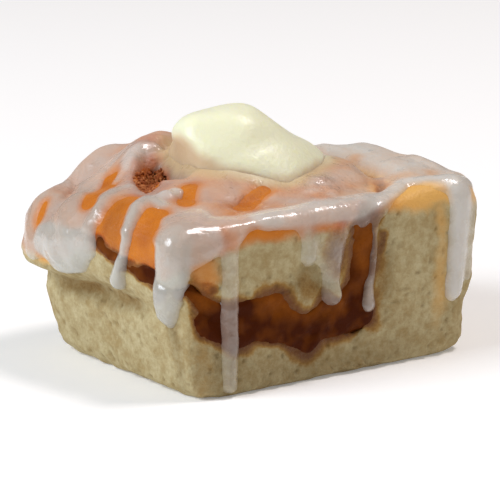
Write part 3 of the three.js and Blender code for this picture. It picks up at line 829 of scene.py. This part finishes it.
butterLook = {
    "cell": 0.8, "softness": 14, "lump": 0.6, "lumpSize": 10, "dent": 0.3, "dentSize": 4.2,
    "footRounds": 30, "rounds": 8, "footEdge": (4, 10),  # how far the foot and the rest are evened out
    "flatSoft": 1.2, "skirtFillet": 2, "skirtSteep": 1.3, "skirtSunk": 1.4,
    "longWay": (-0.81, 0.587, 0), "leftLift": 3.0, "leftReach": 2.2, "rightDrop": 3.0, "rightReach": 3.0,
    # melted butter round the foot: x, y, z, width, height
    "melt": [[(-12, 12, 61, 9, 2), (-11, 2, 59.5, 12, 2.6), (-7, -5, 58.5, 14, 3), (0, -10, 57.2, 16, 3.1),
              (7, -11.5, 56.2, 15, 3), (15, -8.5, 56, 12, 2.6), (23, -3, 56, 8, 1.6)],
             [(-15, 11, 58, 6, 1.4), (-17, -2, 59.2, 8, 2), (-14.6, -7, 59.2, 9, 2.2),
              (-9.6, -11.6, 59, 10, 2.4),
              (-3.6, -15.2, 57.4, 10, 2.4), (3, -17.8, 55.8, 10, 2.2), (10, -16.4, 56.4, 9, 2),
              (18.6, -11, 57, 8, 1.6), (24, -5, 56.5, 6, 1)],
             [(-13, 13, 59, 7, 2), (-8.5, 17, 59.5, 10, 2.8), (-2, 19.5, 59, 11, 3.2),
              (6.5, 17.5, 58, 11, 3.2),
              (14, 12, 57, 11, 3), (21, 4.5, 56.5, 10, 2.6), (24, -4, 56, 7, 1.6)],
             [(-9, 3, 60, 12, 2.6), (-2, -4, 58.5, 17, 3.4), (7, -6.5, 57, 17, 3.6), (15, -4, 56.5, 14, 3),
              (21, -1, 56.5, 10, 2.6)]],
    "meltEdge": (0.4, 1.6),  # from the thinnest skirt to the solid knob
    # below this line it is melted through: place along the first way against height along the second; the
    # line's left end lies higher, so that the shaded left side takes the darker melted colour as painted
    # shade
    "across": (0.8095, -0.587, 0), "above": (0.1473, 0.203, 1),
    "solidLine": ((-17.6, 64.4), (-12.2, 59), (-6.3, 55.8), (-0.3, 54.2), (5.7, 52), (11.6, 52), (17.6, 53.4),
                  (22, 57.4)),
    "solidSoft": 4.2,
    # flats pressed on the knob: direction and how far in from the outermost point
    "flats": (((-0.45, -0.62, 0.64), 2.6), ((0.62, -0.25, 0.74), 3.2), ((-0.1, 0.2, 0.97), 1.2)),
    # glow is painted light: the knob gives off a faint light of its own that evens out its shading
    "cream": tone(234, 234, 203), "melted": tone(206, 178, 142), "rough": 0.34, "glow": 0.06,
}


def solidShare(spots):
    along, height = spots @ np.array(butterLook["across"]), spots @ np.array(butterLook["above"])
    soft = butterLook["solidSoft"]
    line = np.interp(along, *zip(*butterLook["solidLine"]))
    return rise(height - line + 0.8 * cloud(spots, 5, 56), -soft, soft)


def butterMaterial(look):
    material, tree, surface, place = newMaterial("softButter")
    soft = noiseAt(tree, place, 8.0, 2.0)
    fine = noiseAt(tree, place, 1.6, 3.0)
    melt = figure(tree, "ADD", field(tree, "melt"), figure(tree, "MULTIPLY_ADD", soft, 0.4, -0.2))
    color = mixColor(tree, stretch(tree, melt, 0.1, 0.95), look["cream"], look["melted"])
    rough = stretch(tree, fine, 0.3, 0.7, look["rough"], 0.45)
    # painted light: a faint cream emission evens out the knob's shading
    feed(tree, surface, {"Base Color": color, "Roughness": rough, "Emission Color": look["cream"],
                         "Emission Strength": look["glow"], "Subsurface Weight": 0.6,
                         "Subsurface Radius": (1.0, 0.9, 0.5), "Subsurface Scale": 5.0 * mm})
    bumpInto(tree, surface, figure(tree, "ADD", soft, fine), 0.5, 0.4)
    return material


def makeButter():
    piece = solidCopy("butterKnob", "butter")
    remesh(piece, butterLook["cell"], butterLook["softness"])
    spots, _ = readSurface(piece)
    along = (spots - spots.mean(0)) @ np.array(butterLook["longWay"])
    left = rise(along, 4, 20)
    spots[:, 2] += butterLook["leftLift"] * left * rise(-spots[:, 2], -70, -60)
    right = rise(-along, 2, 20)
    spots[:, 2] -= butterLook["rightDrop"] * right
    left = left * rise(spots[:, 2], 60, 68)
    longer = butterLook["leftReach"] * left - butterLook["rightReach"] * right
    spots += np.outer(longer, butterLook["longWay"])
    for way, inset in butterLook["flats"]:
        way = np.array(way) / np.linalg.norm(way)
        out = spots @ way
        over = np.clip(out - out.max() + inset, 0, None)
        spots -= np.outer(over * over / (over + butterLook["flatSoft"]), way)
    moveSurface(piece, spots)
    spots, facing = readSurface(piece)
    lump = (butterLook["lump"] * cloud(spots, butterLook["lumpSize"], 51)
            + butterLook["dent"] * cloud(spots, butterLook["dentSize"], 52))
    moveSurface(piece, spots + facing * lump[:, None])
    warp = 0.8 * cloud(skinSpots, 5, 53)
    skirt = strokeLayer(butterLook["melt"], warp, butterLook["skirtFillet"], butterLook["skirtSteep"])
    joinShell(piece, layerShell("skirt", skirt, butterLook["skirtSunk"])[0])
    remesh(piece, butterLook["cell"], butterLook["softness"])
    links = edgeLinks(piece)
    spots = easeField(readSurface(piece)[0], links, butterLook["rounds"])
    under = np.array([skinTree.find(spot)[1] for spot in spots])
    above = spots - skinSpots[under]
    thick = np.linalg.norm(above, axis=1) * np.sign(np.einsum("ij,ij->i", above, skinFacing[under]))
    foot = (1 - rise(thick, *butterLook["footEdge"]))[:, None]
    spots += foot * (easeField(spots, links, butterLook["footRounds"]) - spots)
    moveSurface(piece, spots)
    paint(piece, "melt", 1 - np.minimum(rise(thick, *butterLook["meltEdge"]), solidShare(spots)))
    piece.data.materials.append(butterMaterial(butterLook))
    smoothShade(piece)
    return piece


butterKnob = makeButter()
print("butter:", len(butterKnob.data.polygons), "faces")


# Icing: a thin glaze with ribbons, a thick front ridge, drips and bare windows

icingLook = {
    "film": 0.6, "filmUneven": 0.22, "sunk": 1.1, "fillet": 0.6, "lowest": -2,
    "rounds": 6, "liftRounds": 16,  # how far the glaze, and what lies under its drips, is evened out
    # the film ends at these heights, as for the crust
    "filmEnd": {
        "left": ((-42, 38), (-36, 40), (-30, 46), (-4, 46), (4, 38), (16, 33), (26, 30), (40, 29)),
        "front": ((-46, 38), (-38, 41.5), (-32, 46.5), (-27, 49.3), (-20, 48.6), (-15, 48), (-9, 47),
                  (-4, 46),
                  (12, 45), (20, 46), (27, 50.2), (40, 50.6), (47, 48)),
        "right": ((-40, 48.4), (10, 48.2), (20, 44.5), (28, 40.5), (42, 34)),
        "back": ((-45, 33), (-20, 42), (20, 45), (28, 43.5), (36, 39.5), (44, 35.5)),
    },
    # grey is a darker white: painted shade for glaze on the left wall and low on the front, and it also greys
    # the thin film away from the strokes
    "white": tone(208, 203, 195), "grey": tone(182, 180, 172), "rough": 0.14, "coat": 0.4,
    # milkiness of the film, and what is added to the right and at the back left corner, with its span
    "milk": 0.49, "rightMilk": (0.36, 14, 40), "cornerMilk": (0.13, 44, 60), "streaks": 0.12,
    "buttery": tone(202, 174, 134), "butterReach": 6,
    # thick strokes: whiteness, then x, y, z, width, height along the path
    "strokes": [
        (0.95, [(33, -34, 51.6, 4, 0.9), (43, -37.4, 52, 5.4, 1.4), (50, -40, 51.6, 6, 1.5),
                (54, -38.6, 49.6, 6, 1.3)]),
        (0.84, [(52.6, -15.5, 53.6, 5, 1.2), (52.9, -24, 53.2, 6, 1.2), (53, -34, 51.5, 5, 1)]),
        (0.66, [(-41.9, -29, 50, 12, 1), (-37.5, -35, 49, 14, 1), (-31, -39, 48.5, 10, 1)]),
        (0.68, [(-46, -36.5, 43, 9, 1.1), (-41, -40.5, 45, 9, 1), (-35, -41.5, 47, 7, 0.9)]),
        (0.27, [(-32.1, -39, 47.5, 7, 0.8), (-33, -40.5, 39.7, 5.6, 1.0), (-33.4, -41.2, 31, 5.2, 1.2)]),
        (0.27, [(-33.3, -41, 33, 4.8, 1.1), (-33.6, -41.2, 27.6, 5.4, 1.4), (-34.1, -41.9, 15.6, 5.4, 1.5),
                (-34.5, -42.1, 3.4, 5.2, 1.6)]),
        (0.16, [(-6.4, -42.8, 46.5, 10, 0.6), (-4, -43.2, 43, 9, 0.6), (-2, -43.2, 38.5, 8, 0.6)]),
        (0.45, [(-7.4, -42.6, 46, 3.6, 0.8), (-7.2, -43.2, 42, 4.6, 1.6), (-7.2, -43.2, 37.8, 5.4, 2.5)]),
        (0.08, [(1.5, -42.6, 46.5, 14, 0.8), (1.2, -43.3, 42, 12, 1.1), (1, -43.3, 37, 9, 1.3)]),
        (0.34, [(1, -43.3, 38, 7.5, 1.3), (0.8, -43.3, 35, 8, 1.8), (0.8, -43.2, 30, 6.4, 2.4),
                (0.8, -43.2, 25.6, 6.4, 3)]),
        (0.15, [(18, -41, 49.5, 3, 0.3), (17, -42.7, 40, 1.8, 0.3), (16.2, -42.6, 33, 1.8, 0.4),
                (15.6, -42.6, 27, 1.8, 0.4)]),
        (0.3, [(13, -42.4, 48.5, 8, 0.5), (12.8, -43, 46.4, 6.5, 0.3)]),
        (0.6, [(-30, -37, 50, 9, 0.9), (-24, -37.6, 50.2, 8, 0.8), (-19, -38, 50.2, 8, 0.8)]),
        (0.88, [(-20, -38.5, 50.2, 9, 0.9), (-15.1, -39, 50, 10, 1.0), (-9, -40, 50, 10, 0.9),
                (3, -40.6, 50.2, 10.6, 1.0), (14, -39.6, 50.4, 10, 0.9), (24, -37.4, 50.6, 8, 1.2),
                (31, -35.6, 51, 5.4, 1.2)]),
        (0.72, [(-14, -42.2, 49, 4, 0.6), (-6, -43, 49, 4.4, 0.7), (4, -43.4, 49.4, 5, 0.7),
                (12, -43, 49.8, 5, 0.7)]),
        (0.5, [(15.6, -42.6, 27, 1.8, 0.4), (15, -42.5, 22.8, 3.6, 1.4), (14.6, -42.5, 20, 5, 2.2)]),
        # thin pale glaze down the right end of the front, whose paleness is painted light along that edge
        (0.42, [(53, -42, 46, 4, 0.4), (52.6, -43, 38, 4, 0.45), (52.2, -43, 30, 4, 0.45),
                (51.8, -42.8, 23, 3, 0.4)]),
        (1, [(48.6, -41.6, 50, 8.6, 1.4), (47.8, -42.6, 38, 6.4, 1.8), (46.6, -42.4, 27, 6, 2.1),
               (46.4, -42.3, 19.4, 6, 2.6)]),
        (0.7, [(-38, -29, 50.5, 11, 1.2), (-46.5, -33.6, 46.5, 13, 1.6), (-49.3, -34.6, 41, 11, 0.9)]),
        (0.84, [(-47.6, -34, 44.5, 11, 1.6), (-49.5, -34.6, 39, 12, 1.8), (-49.2, -33.6, 34, 11.4, 2.6),
                (-48.8, -32.6, 29.6, 10.6, 3.7), (-47.9, -31.4, 24.8, 8.6, 3.2)]),
        (0.86, [(-40.4, -17.5, 52.4, 3.8, 1), (-40.1, -10.8, 53, 4, 1.3), (-45.8, -13.6, 51.9, 4.2, 1.4),
                (-50, -16, 48.8, 4.2, 1.5), (-52.4, -17.2, 44, 4, 1.5), (-52.6, -15.6, 37.8, 3.8, 1.5),
                (-52.9, -13, 32.6, 5.4, 2.1), (-52.3, -12, 30.6, 6, 2.4)]),
        (0.78, [(-36.5, 4.4, 53.3, 4, 1.1), (-42.3, 3.2, 52.8, 4.2, 1.3), (-48.4, 0.2, 51.2, 4.2, 1.4),
                (-52.7, -1.4, 47.4, 4.6, 1.4), (-54.8, -0.4, 41, 7, 1.6)]),
        (0.66, [(-18, 26, 55, 5, 0.9), (-26, 27, 53, 8, 1), (-34, 25, 51.4, 9, 1.1),
                (-42, 20, 50, 9, 1.2), (-50, 14, 48, 10, 1.3), (-54.6, 11, 42, 13, 1.5)]),
        (0.9, [(-55.3, 0.6, 39.5, 10, 1.7), (-54.9, 7.9, 36, 15, 2.2), (-55.2, 16.5, 36, 15, 2.1),
               (-54.6, 23, 36.5, 10, 1.5)]),
        (0.63, [(-34, 38, 47, 8, 0.8), (-42.9, 37, 42.5, 8, 0.9), (-51.1, 33, 39, 8, 1),
                (-54, 29.5, 33.5, 8, 1.2)]),
        (0.8, [(-30.8, 15.6, 55.4, 3.4, 0.8), (-27.5, 19, 56.5, 4, 1), (-22, 22.5, 57.5, 4, 1),
               (-17, 22.5, 58.5, 3, 0.8)]),
        (0.5, [(-35.6, 13.4, 52.6, 3, 0.6), (-33, 15, 53.4, 3.4, 0.8), (-31, 16.4, 54, 2.6, 0.6)]),
        (0.85, [(-35, -12.4, 53.4, 5.4, 2), (-32, -12, 53.8, 4.6, 1.6)]),
        (0.74, [(52, -14, 52.5, 10, 0.5), (56, -14, 47, 7, 1), (56, -14, 42, 5, 1.4),
                (55, -14.5, 33, 5.2, 1.9)]),
        (0.78, [(52, 9.5, 52, 11, 0.5), (56, 9.5, 47, 7, 1), (56, 9.5, 40, 5, 1.3), (55, 9.5, 31, 4.6, 1.5),
                (55, 9.8, 22, 5.2, 2)]),
        (0.75, [(21, 40, 53, 12, 0.5), (21, 43, 47, 8, 1), (21, 43, 41, 5.4, 1.4), (21.5, 42, 31, 5.6, 2)]),
        (0.78, [(-12, 40, 54, 12, 0.5), (-12, 43, 47, 7, 1), (-12, 43, 40, 5, 1.4), (-11.5, 42, 27, 5.4, 2)]),
    ],
    # small beads of glaze on the shoulder and by the hollow: whiteness, width, height and places
    "beads": (0.62, 2.8, 0.9, ((9.5, -23.3, 54.5), (7.9, -26.4, 53.5), (10.6, -27.2, 53.4), (5.6, -25, 53.8),
                               (3.6, -28.8, 52.7), (8, -33.5, 52.1), (0.8, -35.8, 51.9), (5, -36.6, 51.8),
                               (-15.4, 21, 59.4), (-18.4, 22.6, 58.6))),
    # windows where the glaze has run off the crust: x, y, z, width
    "windows": [
        [(-45, -20.6, 51, 7), (-49.4, -22.1, 47, 9), (-51.5, -23.4, 42, 9), (-51.8, -23.9, 37, 8)],
        [(-44, -6.8, 52.4, 4.6), (-49.5, -8.2, 50, 7.2), (-52.7, -9.8, 46, 8.2), (-54.3, -9.6, 40, 8.2)],
        [(-31, 17.5, 53, 3.4), (-36.5, 16, 52, 7), (-44, 9.8, 51.6, 7.4), (-50, 5.6, 49.8, 4.6)],
        [(-49, 28.4, 43.6, 1.6), (-51.8, 27.2, 42.4, 3), (-54, 27, 39, 2.8), (-54.4, 27.4, 37, 1.8)],
        [(-32, 2, 53, 5), (-27, 10, 50, 10), (-22.4, 15, 51, 7)],
        [(-27.2, -12, 54.5, 4), (-33, -19, 53, 5)],
        [(-20.8, -28.3, 51.4, 4.5), (-14.7, -25.9, 52.4, 5.5), (-7.1, -21.6, 53.8, 4)],
        [(27.4, -40.4, 50.4, 4.6), (32.5, -39.6, 50.8, 6.4), (37, -41.6, 50.4, 5)],
    ],
    # places where the glaze is thin and the crust shows through: x, y, z, width, whiteness
    "thin": [
        [(26, -16, 53.5, 8, 0.4), (33, -10, 52.4, 9, 0.36), (40, -3, 53, 8, 0.4)],
        [(17, -14, 55, 6, 0.45), (24, -20, 54, 6, 0.4)],
        [(-23, 14, 53, 9, 0.1), (-19.4, 16.6, 56, 8, 0.14), (-16.4, 17.6, 58, 6, 0.3)],
        [(44, -34, 53, 6, 0.4), (50, -28, 53, 5, 0.5)],
        [(10, 22, 57, 8, 0.4), (22, 16, 56, 7, 0.4), (30, 6, 54, 6, 0.45)],
    ],
    # pebbled patch on the shoulder: centre and reach
    "pebbles": ((7.5, -26.5, 53.5), 9),
    "pebbleHeight": 1.6, "pebbleBump": 1.5,
    "dome": ((4, 5), 34, 0.14),  # the glaze is thinnest over the swollen middle: centre, reach, how much
    # the corner drip bridges the crease under it: centre, reach, rounds of evening out
    "bridge": ((-49, -33.5, 32), 8, 18),
}


def pebbleMask(spots):
    center, reach = icingLook["pebbles"]
    return spotMask(spots, center, reach, 0.4, 1.5 * cloud(spots, 4, 58))


def icingHeight():
    spots = skinSpots
    right, back, high = spots.T
    warp = 0.45 * cloud(spots, 6.5, 41)
    margin = high - edgeHeight(spots, icingLook["filmEnd"]) + 1.2 * cloud(spots, 7, 43)
    bare = np.full(len(spots), -deepDown)
    for points in icingLook["windows"]:
        gap, sizes = nearPath(spots, onSkin(points))
        bare = np.minimum(bare, gap + 2 * warp - sizes[:, 0] / 2)
    film = icingLook["film"] + icingLook["filmUneven"] * (cloud(spots, 8, 44) + 0.4 * cloud(spots, 3.4, 45))
    pebbled = pebbleMask(spots)
    film = film + pebbled * (icingLook["pebbleHeight"] * np.abs(cloud(spots, 2.6, 46)) + 0.15)
    height = np.minimum(film * rise(bare, -0.4, 2.4), edgeSlope * np.minimum(margin, bare))
    white = icingLook["milk"] + 0.14 * cloud(spots, 9, 47) + 0.1 * cloud(spots, 3, 48)
    (x, y), dome, thinner = icingLook["dome"]
    white = white - thinner * (1 - rise(np.hypot(right - x, back - y), 0.5 * dome, 1.1 * dome))
    more, *span = icingLook["rightMilk"]
    streaks = icingLook["streaks"] * cloud(spots * (0.5, 1, 1), 4, 49) * rise(right, 0, 20)
    white = white + more * rise(right, *span) + streaks
    more, *span = icingLook["cornerMilk"]
    white = white + more * rise(-right + back, *span)
    white = white * (0.2 + 0.8 * rise(bare, 0, 3)) * (0.25 + 0.75 * rise(margin, 0, 5))
    for points in icingLook["thin"]:
        gap, sizes = nearPath(spots, onSkin(points))
        weak = 1 - rise(gap + 2.5 * warp, 0, sizes[:, 0] / 2)
        white = white + (sizes[:, 1] - white) * weak
    wet = pebbled + 0.15
    lift = np.clip(skinOoze, 0, None) + 0.5 * rise(skinOoze, -0.5, 0.3)  # drips lie over the oozed filling
    lift = easeField(lift, skinLinks, icingLook["liftRounds"]) + skinGroove
    uneven = 1 + 0.25 * cloud(spots, 5, 42)
    share, width, tall, places = icingLook["beads"]
    beads = [(share, [(x, y, z, width, tall), (x + 0.8, y - 0.4, z, width, tall)]) for x, y, z in places]
    for share, points in icingLook["strokes"] + beads:
        bead = strokeHeight(spots, onSkin(points), warp)
        thick = rise(bead, 0.05, 0.6)
        bead = np.where(bead > 0, bead * uneven + lift, bead)
        white = white + (share - white) * thick
        wet = np.maximum(wet, thick)
        height = blendMax(height, bead, icingLook["fillet"])
    fields = np.maximum(height, icingLook["lowest"]), white, wet
    return [easeField(values, skinLinks, icingLook["rounds"]) for values in fields]


def icingMaterial(look):
    material, tree, surface, place = newMaterial("sugarGlaze")
    baked = placeBaked(tree, place, *bakedMasks[:-1])  # no pores under the glaze
    streak = noiseAt(tree, place, 4.0, 2.0)
    milk = figure(tree, "ADD", field(tree, "milk"), figure(tree, "MULTIPLY_ADD", streak, 0.2, -0.1))
    # painted shade: the glaze turns grey where the clear field marks it
    white = mixColor(tree, field(tree, "clear"), look["white"], look["grey"])
    color = mixColor(tree, milk, baked["Color"], white)
    color = mixColor(tree, field(tree, "buttery"), color, look["buttery"])
    color = mixColor(tree, field(tree, "cream"), color, butterLook["cream"])
    shine = figure(tree, "ADD", field(tree, "wet"), figure(tree, "MULTIPLY_ADD", streak, 3.6, -1.95))
    rough = stretch(tree, shine, 0.1, 0.9, 0.5, look["rough"])
    coat = stretch(tree, shine, 0.2, 0.9, 0.0, look["coat"])
    feed(tree, surface, {"Base Color": color, "Roughness": rough, "Coat Weight": coat, "Coat Roughness": 0.12,
                         "Subsurface Weight": 0.25, "Subsurface Radius": (1.0, 0.8, 0.6),
                         "Subsurface Scale": 1.2 * mm})
    grainy = figure(tree, "MULTIPLY", noiseAt(tree, place, 1.2, 2.0), 0.5)
    pebbled = figure(tree, "ADD", noiseAt(tree, place, 3.0, 1.0), grainy)
    thin = figure(tree, "SUBTRACT", 1.5, field(tree, "milk"))
    thin = figure(tree, "MULTIPLY_ADD", field(tree, "pebbles"), look["pebbleBump"], thin)
    bumpInto(tree, surface, figure(tree, "MULTIPLY", pebbled, thin), 0.6, 0.6)
    return material


def makeIcing():
    height, white, wet = icingHeight()
    piece, source = layerShell("icingCoat", height, icingLook["sunk"])
    center, reach, rounds = icingLook["bridge"]
    shell, _ = readSurface(piece)
    near = spotMask(shell, center, reach, 0.5)[:, None]
    moveSurface(piece, shell + near * (easeField(shell, edgeLinks(piece), rounds) - shell))
    spots = skinSpots[source]
    right, back, high = spots.T
    gap = gapTo(pointTree(readSurface(butterKnob)[0]), spots) + 1.2 * cloud(spots, 4, 54)
    front = rise(-back, 40, 43) * (1 - rise(high, 44, 48)) * (1 - rise(right, 6, 12))
    thinned = 0.6 * (1 - rise(wet[source], 0.3, 0.9)) * (1 - 0.6 * rise(right, 14, 40))
    turnGap, _ = nearFlat(spots, rollForm["gap"])
    soaked = 0.5 * (1 - rise(turnGap + 1.5 * cloud(spots, 4, 55), 3, 10))
    soaked = np.maximum(soaked, rise(skinOoze[source], -1.5, 0.3))
    # shade is the dough's painted shade carried onto the glaze; clear marks painted shade on the left wall
    # and low on the front, and the thin film away from the strokes
    for name, mask in (("milk", white[source]), ("wet", wet[source]),
                       ("buttery", 1 - rise(gap, 0, icingLook["butterReach"])),
                       ("cream", solidShare(spots) * (1 - rise(gap, 0.4, 3))),
                       ("pebbles", pebbleMask(spots)), ("shade", shadeMask(spots)),
                       ("clear", np.maximum(np.maximum(rise(-right, 30, 48), front), thinned)),
                       ("crust", crustMask(spots)), ("tan", tanMask(spots)),
                       ("stain", np.maximum(soaked, stainMask(spots)))):
        paint(piece, name, mask)
    piece.data.materials.append(icingMaterial(icingLook))
    smoothShade(piece)
    return piece


icingCoat = makeIcing()
print("icing:", len(icingCoat.data.polygons), "faces")


# Cinnamon grains lying in the open gap between the turns

grainLook = {
    "Density": 1.5e6, "Small": 0.2 * mm, "Large": 1.0 * mm, "Seed": 7,
    # the bed they lie on: depth of the gap where it starts, its height above the skin and under it
    "bedDepth": 0.5, "bedHeight": 0.1, "bedSunk": 0.4,
    "dark": tone(146, 74, 32), "amber": tone(250, 174, 108), "lumps": 1.6, "glint": 0.4, "specular": 0.2,
}


def makeGrainTree():
    tree, given = startTree("cinnamonGrains", ("Density", "Small", "Large"), ("Seed",))
    seed = given["Seed"]
    amount = figure(tree, "MULTIPLY", given["Density"], namedField(tree, "amount"))
    scatter = put(tree, "GeometryNodeDistributePointsOnFaces",
                  {"Mesh": given["Geometry"], "Density": amount, "Seed": seed})
    grain = put(tree, "GeometryNodeMeshIcoSphere", {"Radius": 1.0, "Subdivisions": 2})
    size = put(tree, "FunctionNodeRandomValue",
               {0: given["Small"], 1: given["Large"], "Seed": seed}, data_type="FLOAT_VECTOR")
    turn = put(tree, "FunctionNodeRandomValue",
               {1: (math.tau,) * 3, "Seed": seed}, data_type="FLOAT_VECTOR")
    lay = put(tree, "GeometryNodeInstanceOnPoints",
              {"Points": scatter.outputs["Points"], "Instance": grain.outputs["Mesh"],
               "Scale": size.outputs[0], "Rotation": turn.outputs[0]})
    return finishTree(tree, given, lay.outputs[0])


def makeGrains():
    uneven = skinGap + 0.8 * cloud(skinSpots, 2.6, 61) * rise(skinGap, 0, 0.5)
    height = np.where(uneven > grainLook["bedDepth"], grainLook["bedHeight"], deepDown)
    bed, source = layerShell("cinnamonGrains", height, grainLook["bedSunk"])
    amount = rise(uneven, 0.4, 1.8) * (1 - rise(skinSpots[:, 1] + 1.5 * cloud(skinSpots, 4, 62), 12, 16))
    paint(bed, "amount", amount[source])
    material = fillingMaterial("cinnamonCrumbs", grainLook)
    dress(bed, makeGrainTree(), dict(grainLook, Material=material))
    smoothShade(bed)
    return bed


cinnamonGrains = makeGrains()
print("grains:", len(cinnamonGrains.data.polygons), "faces")
bpy.data.objects.remove(rollSkin)

for piece, nodeName, slotName in ((rollDough, "dough", "crumb"), (cinnamonFilling, "filling", "cinnamon"),
                                  (icingCoat, "icing", "icing"), (butterKnob, "butter", "butter")):
    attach(piece, "root")
    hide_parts(nodeName)
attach(cinnamonGrains, "root")


# Floor, light and camera

studio = {
    "floor": tone(246, 245, 243), "floorSize": 6.0, "glow": 0.18, "glowTone": tone(238, 243, 250),
    "sky": (1.0, 0.92, 0.845, 1.0), "skyStrength": 0.275,
    # light: place, width, power, colour
    "key": ((-1.3, 0.25, 1.0), 0.8, 18.8, (0.92, 1.0, 1.09)),
    "top": ((0.6, -0.3, 1.5), 0.4, 12.0, (1.0, 0.93, 0.93)),
    "lookAt": (1.94, -1.87, 29.9), "azimuth": -35.95, "elevation": 14.0, "distance": 1033, "lens": 250,
}


def makeStudio():
    side = studio["floorSize"] / 2
    mesh = bpy.data.meshes.new("floor")
    corners = [(-side, -side, 0), (side, -side, 0), (side, side, 0), (-side, side, 0)]
    mesh.from_pydata(corners, [], [(0, 1, 2, 3)])
    floor = asPiece("floor", mesh)
    material, tree, surface, _ = newMaterial("paleFloor")
    feed(tree, surface, {"Base Color": studio["floor"], "Roughness": 0.8,
                         "Emission Color": studio["glowTone"], "Emission Strength": studio["glow"]})
    floor.data.materials.append(material)
    world = bpy.data.worlds.new("softSky")
    scene.world = world
    world.use_nodes = True
    sky = world.node_tree.nodes["Background"]
    feed(world.node_tree, sky, {"Color": studio["sky"], "Strength": studio["skyStrength"]})
    target = Vector(studio["lookAt"]) * mm
    for name in ("key", "top"):
        place, width, power, color = studio[name]
        lamp = bpy.data.lights.new(name, "AREA")
        lamp.size, lamp.energy, lamp.color = width, power, color
        light = bpy.data.objects.new(name, lamp)
        scene.collection.objects.link(light)
        light.location = place
        light.rotation_euler = (target - light.location).to_track_quat("-Z", "Y").to_euler()
    scene.view_settings.view_transform = "Standard"
    camera = bpy.data.cameras.new("camera")
    camera.lens = studio["lens"]
    camera.clip_start, camera.clip_end = 0.01, 20
    viewer = bpy.data.objects.new("camera", camera)
    scene.collection.objects.link(viewer)
    turn, tilt = math.radians(studio["azimuth"]), math.radians(studio["elevation"])
    back = Vector((math.sin(turn) * math.cos(tilt), -math.cos(turn) * math.cos(tilt), math.sin(tilt)))
    viewer.location = target + back * studio["distance"] * mm
    viewer.rotation_euler = (-back).to_track_quat("-Z", "Y").to_euler()
    scene.camera = viewer


makeStudio()
print("studio ready")
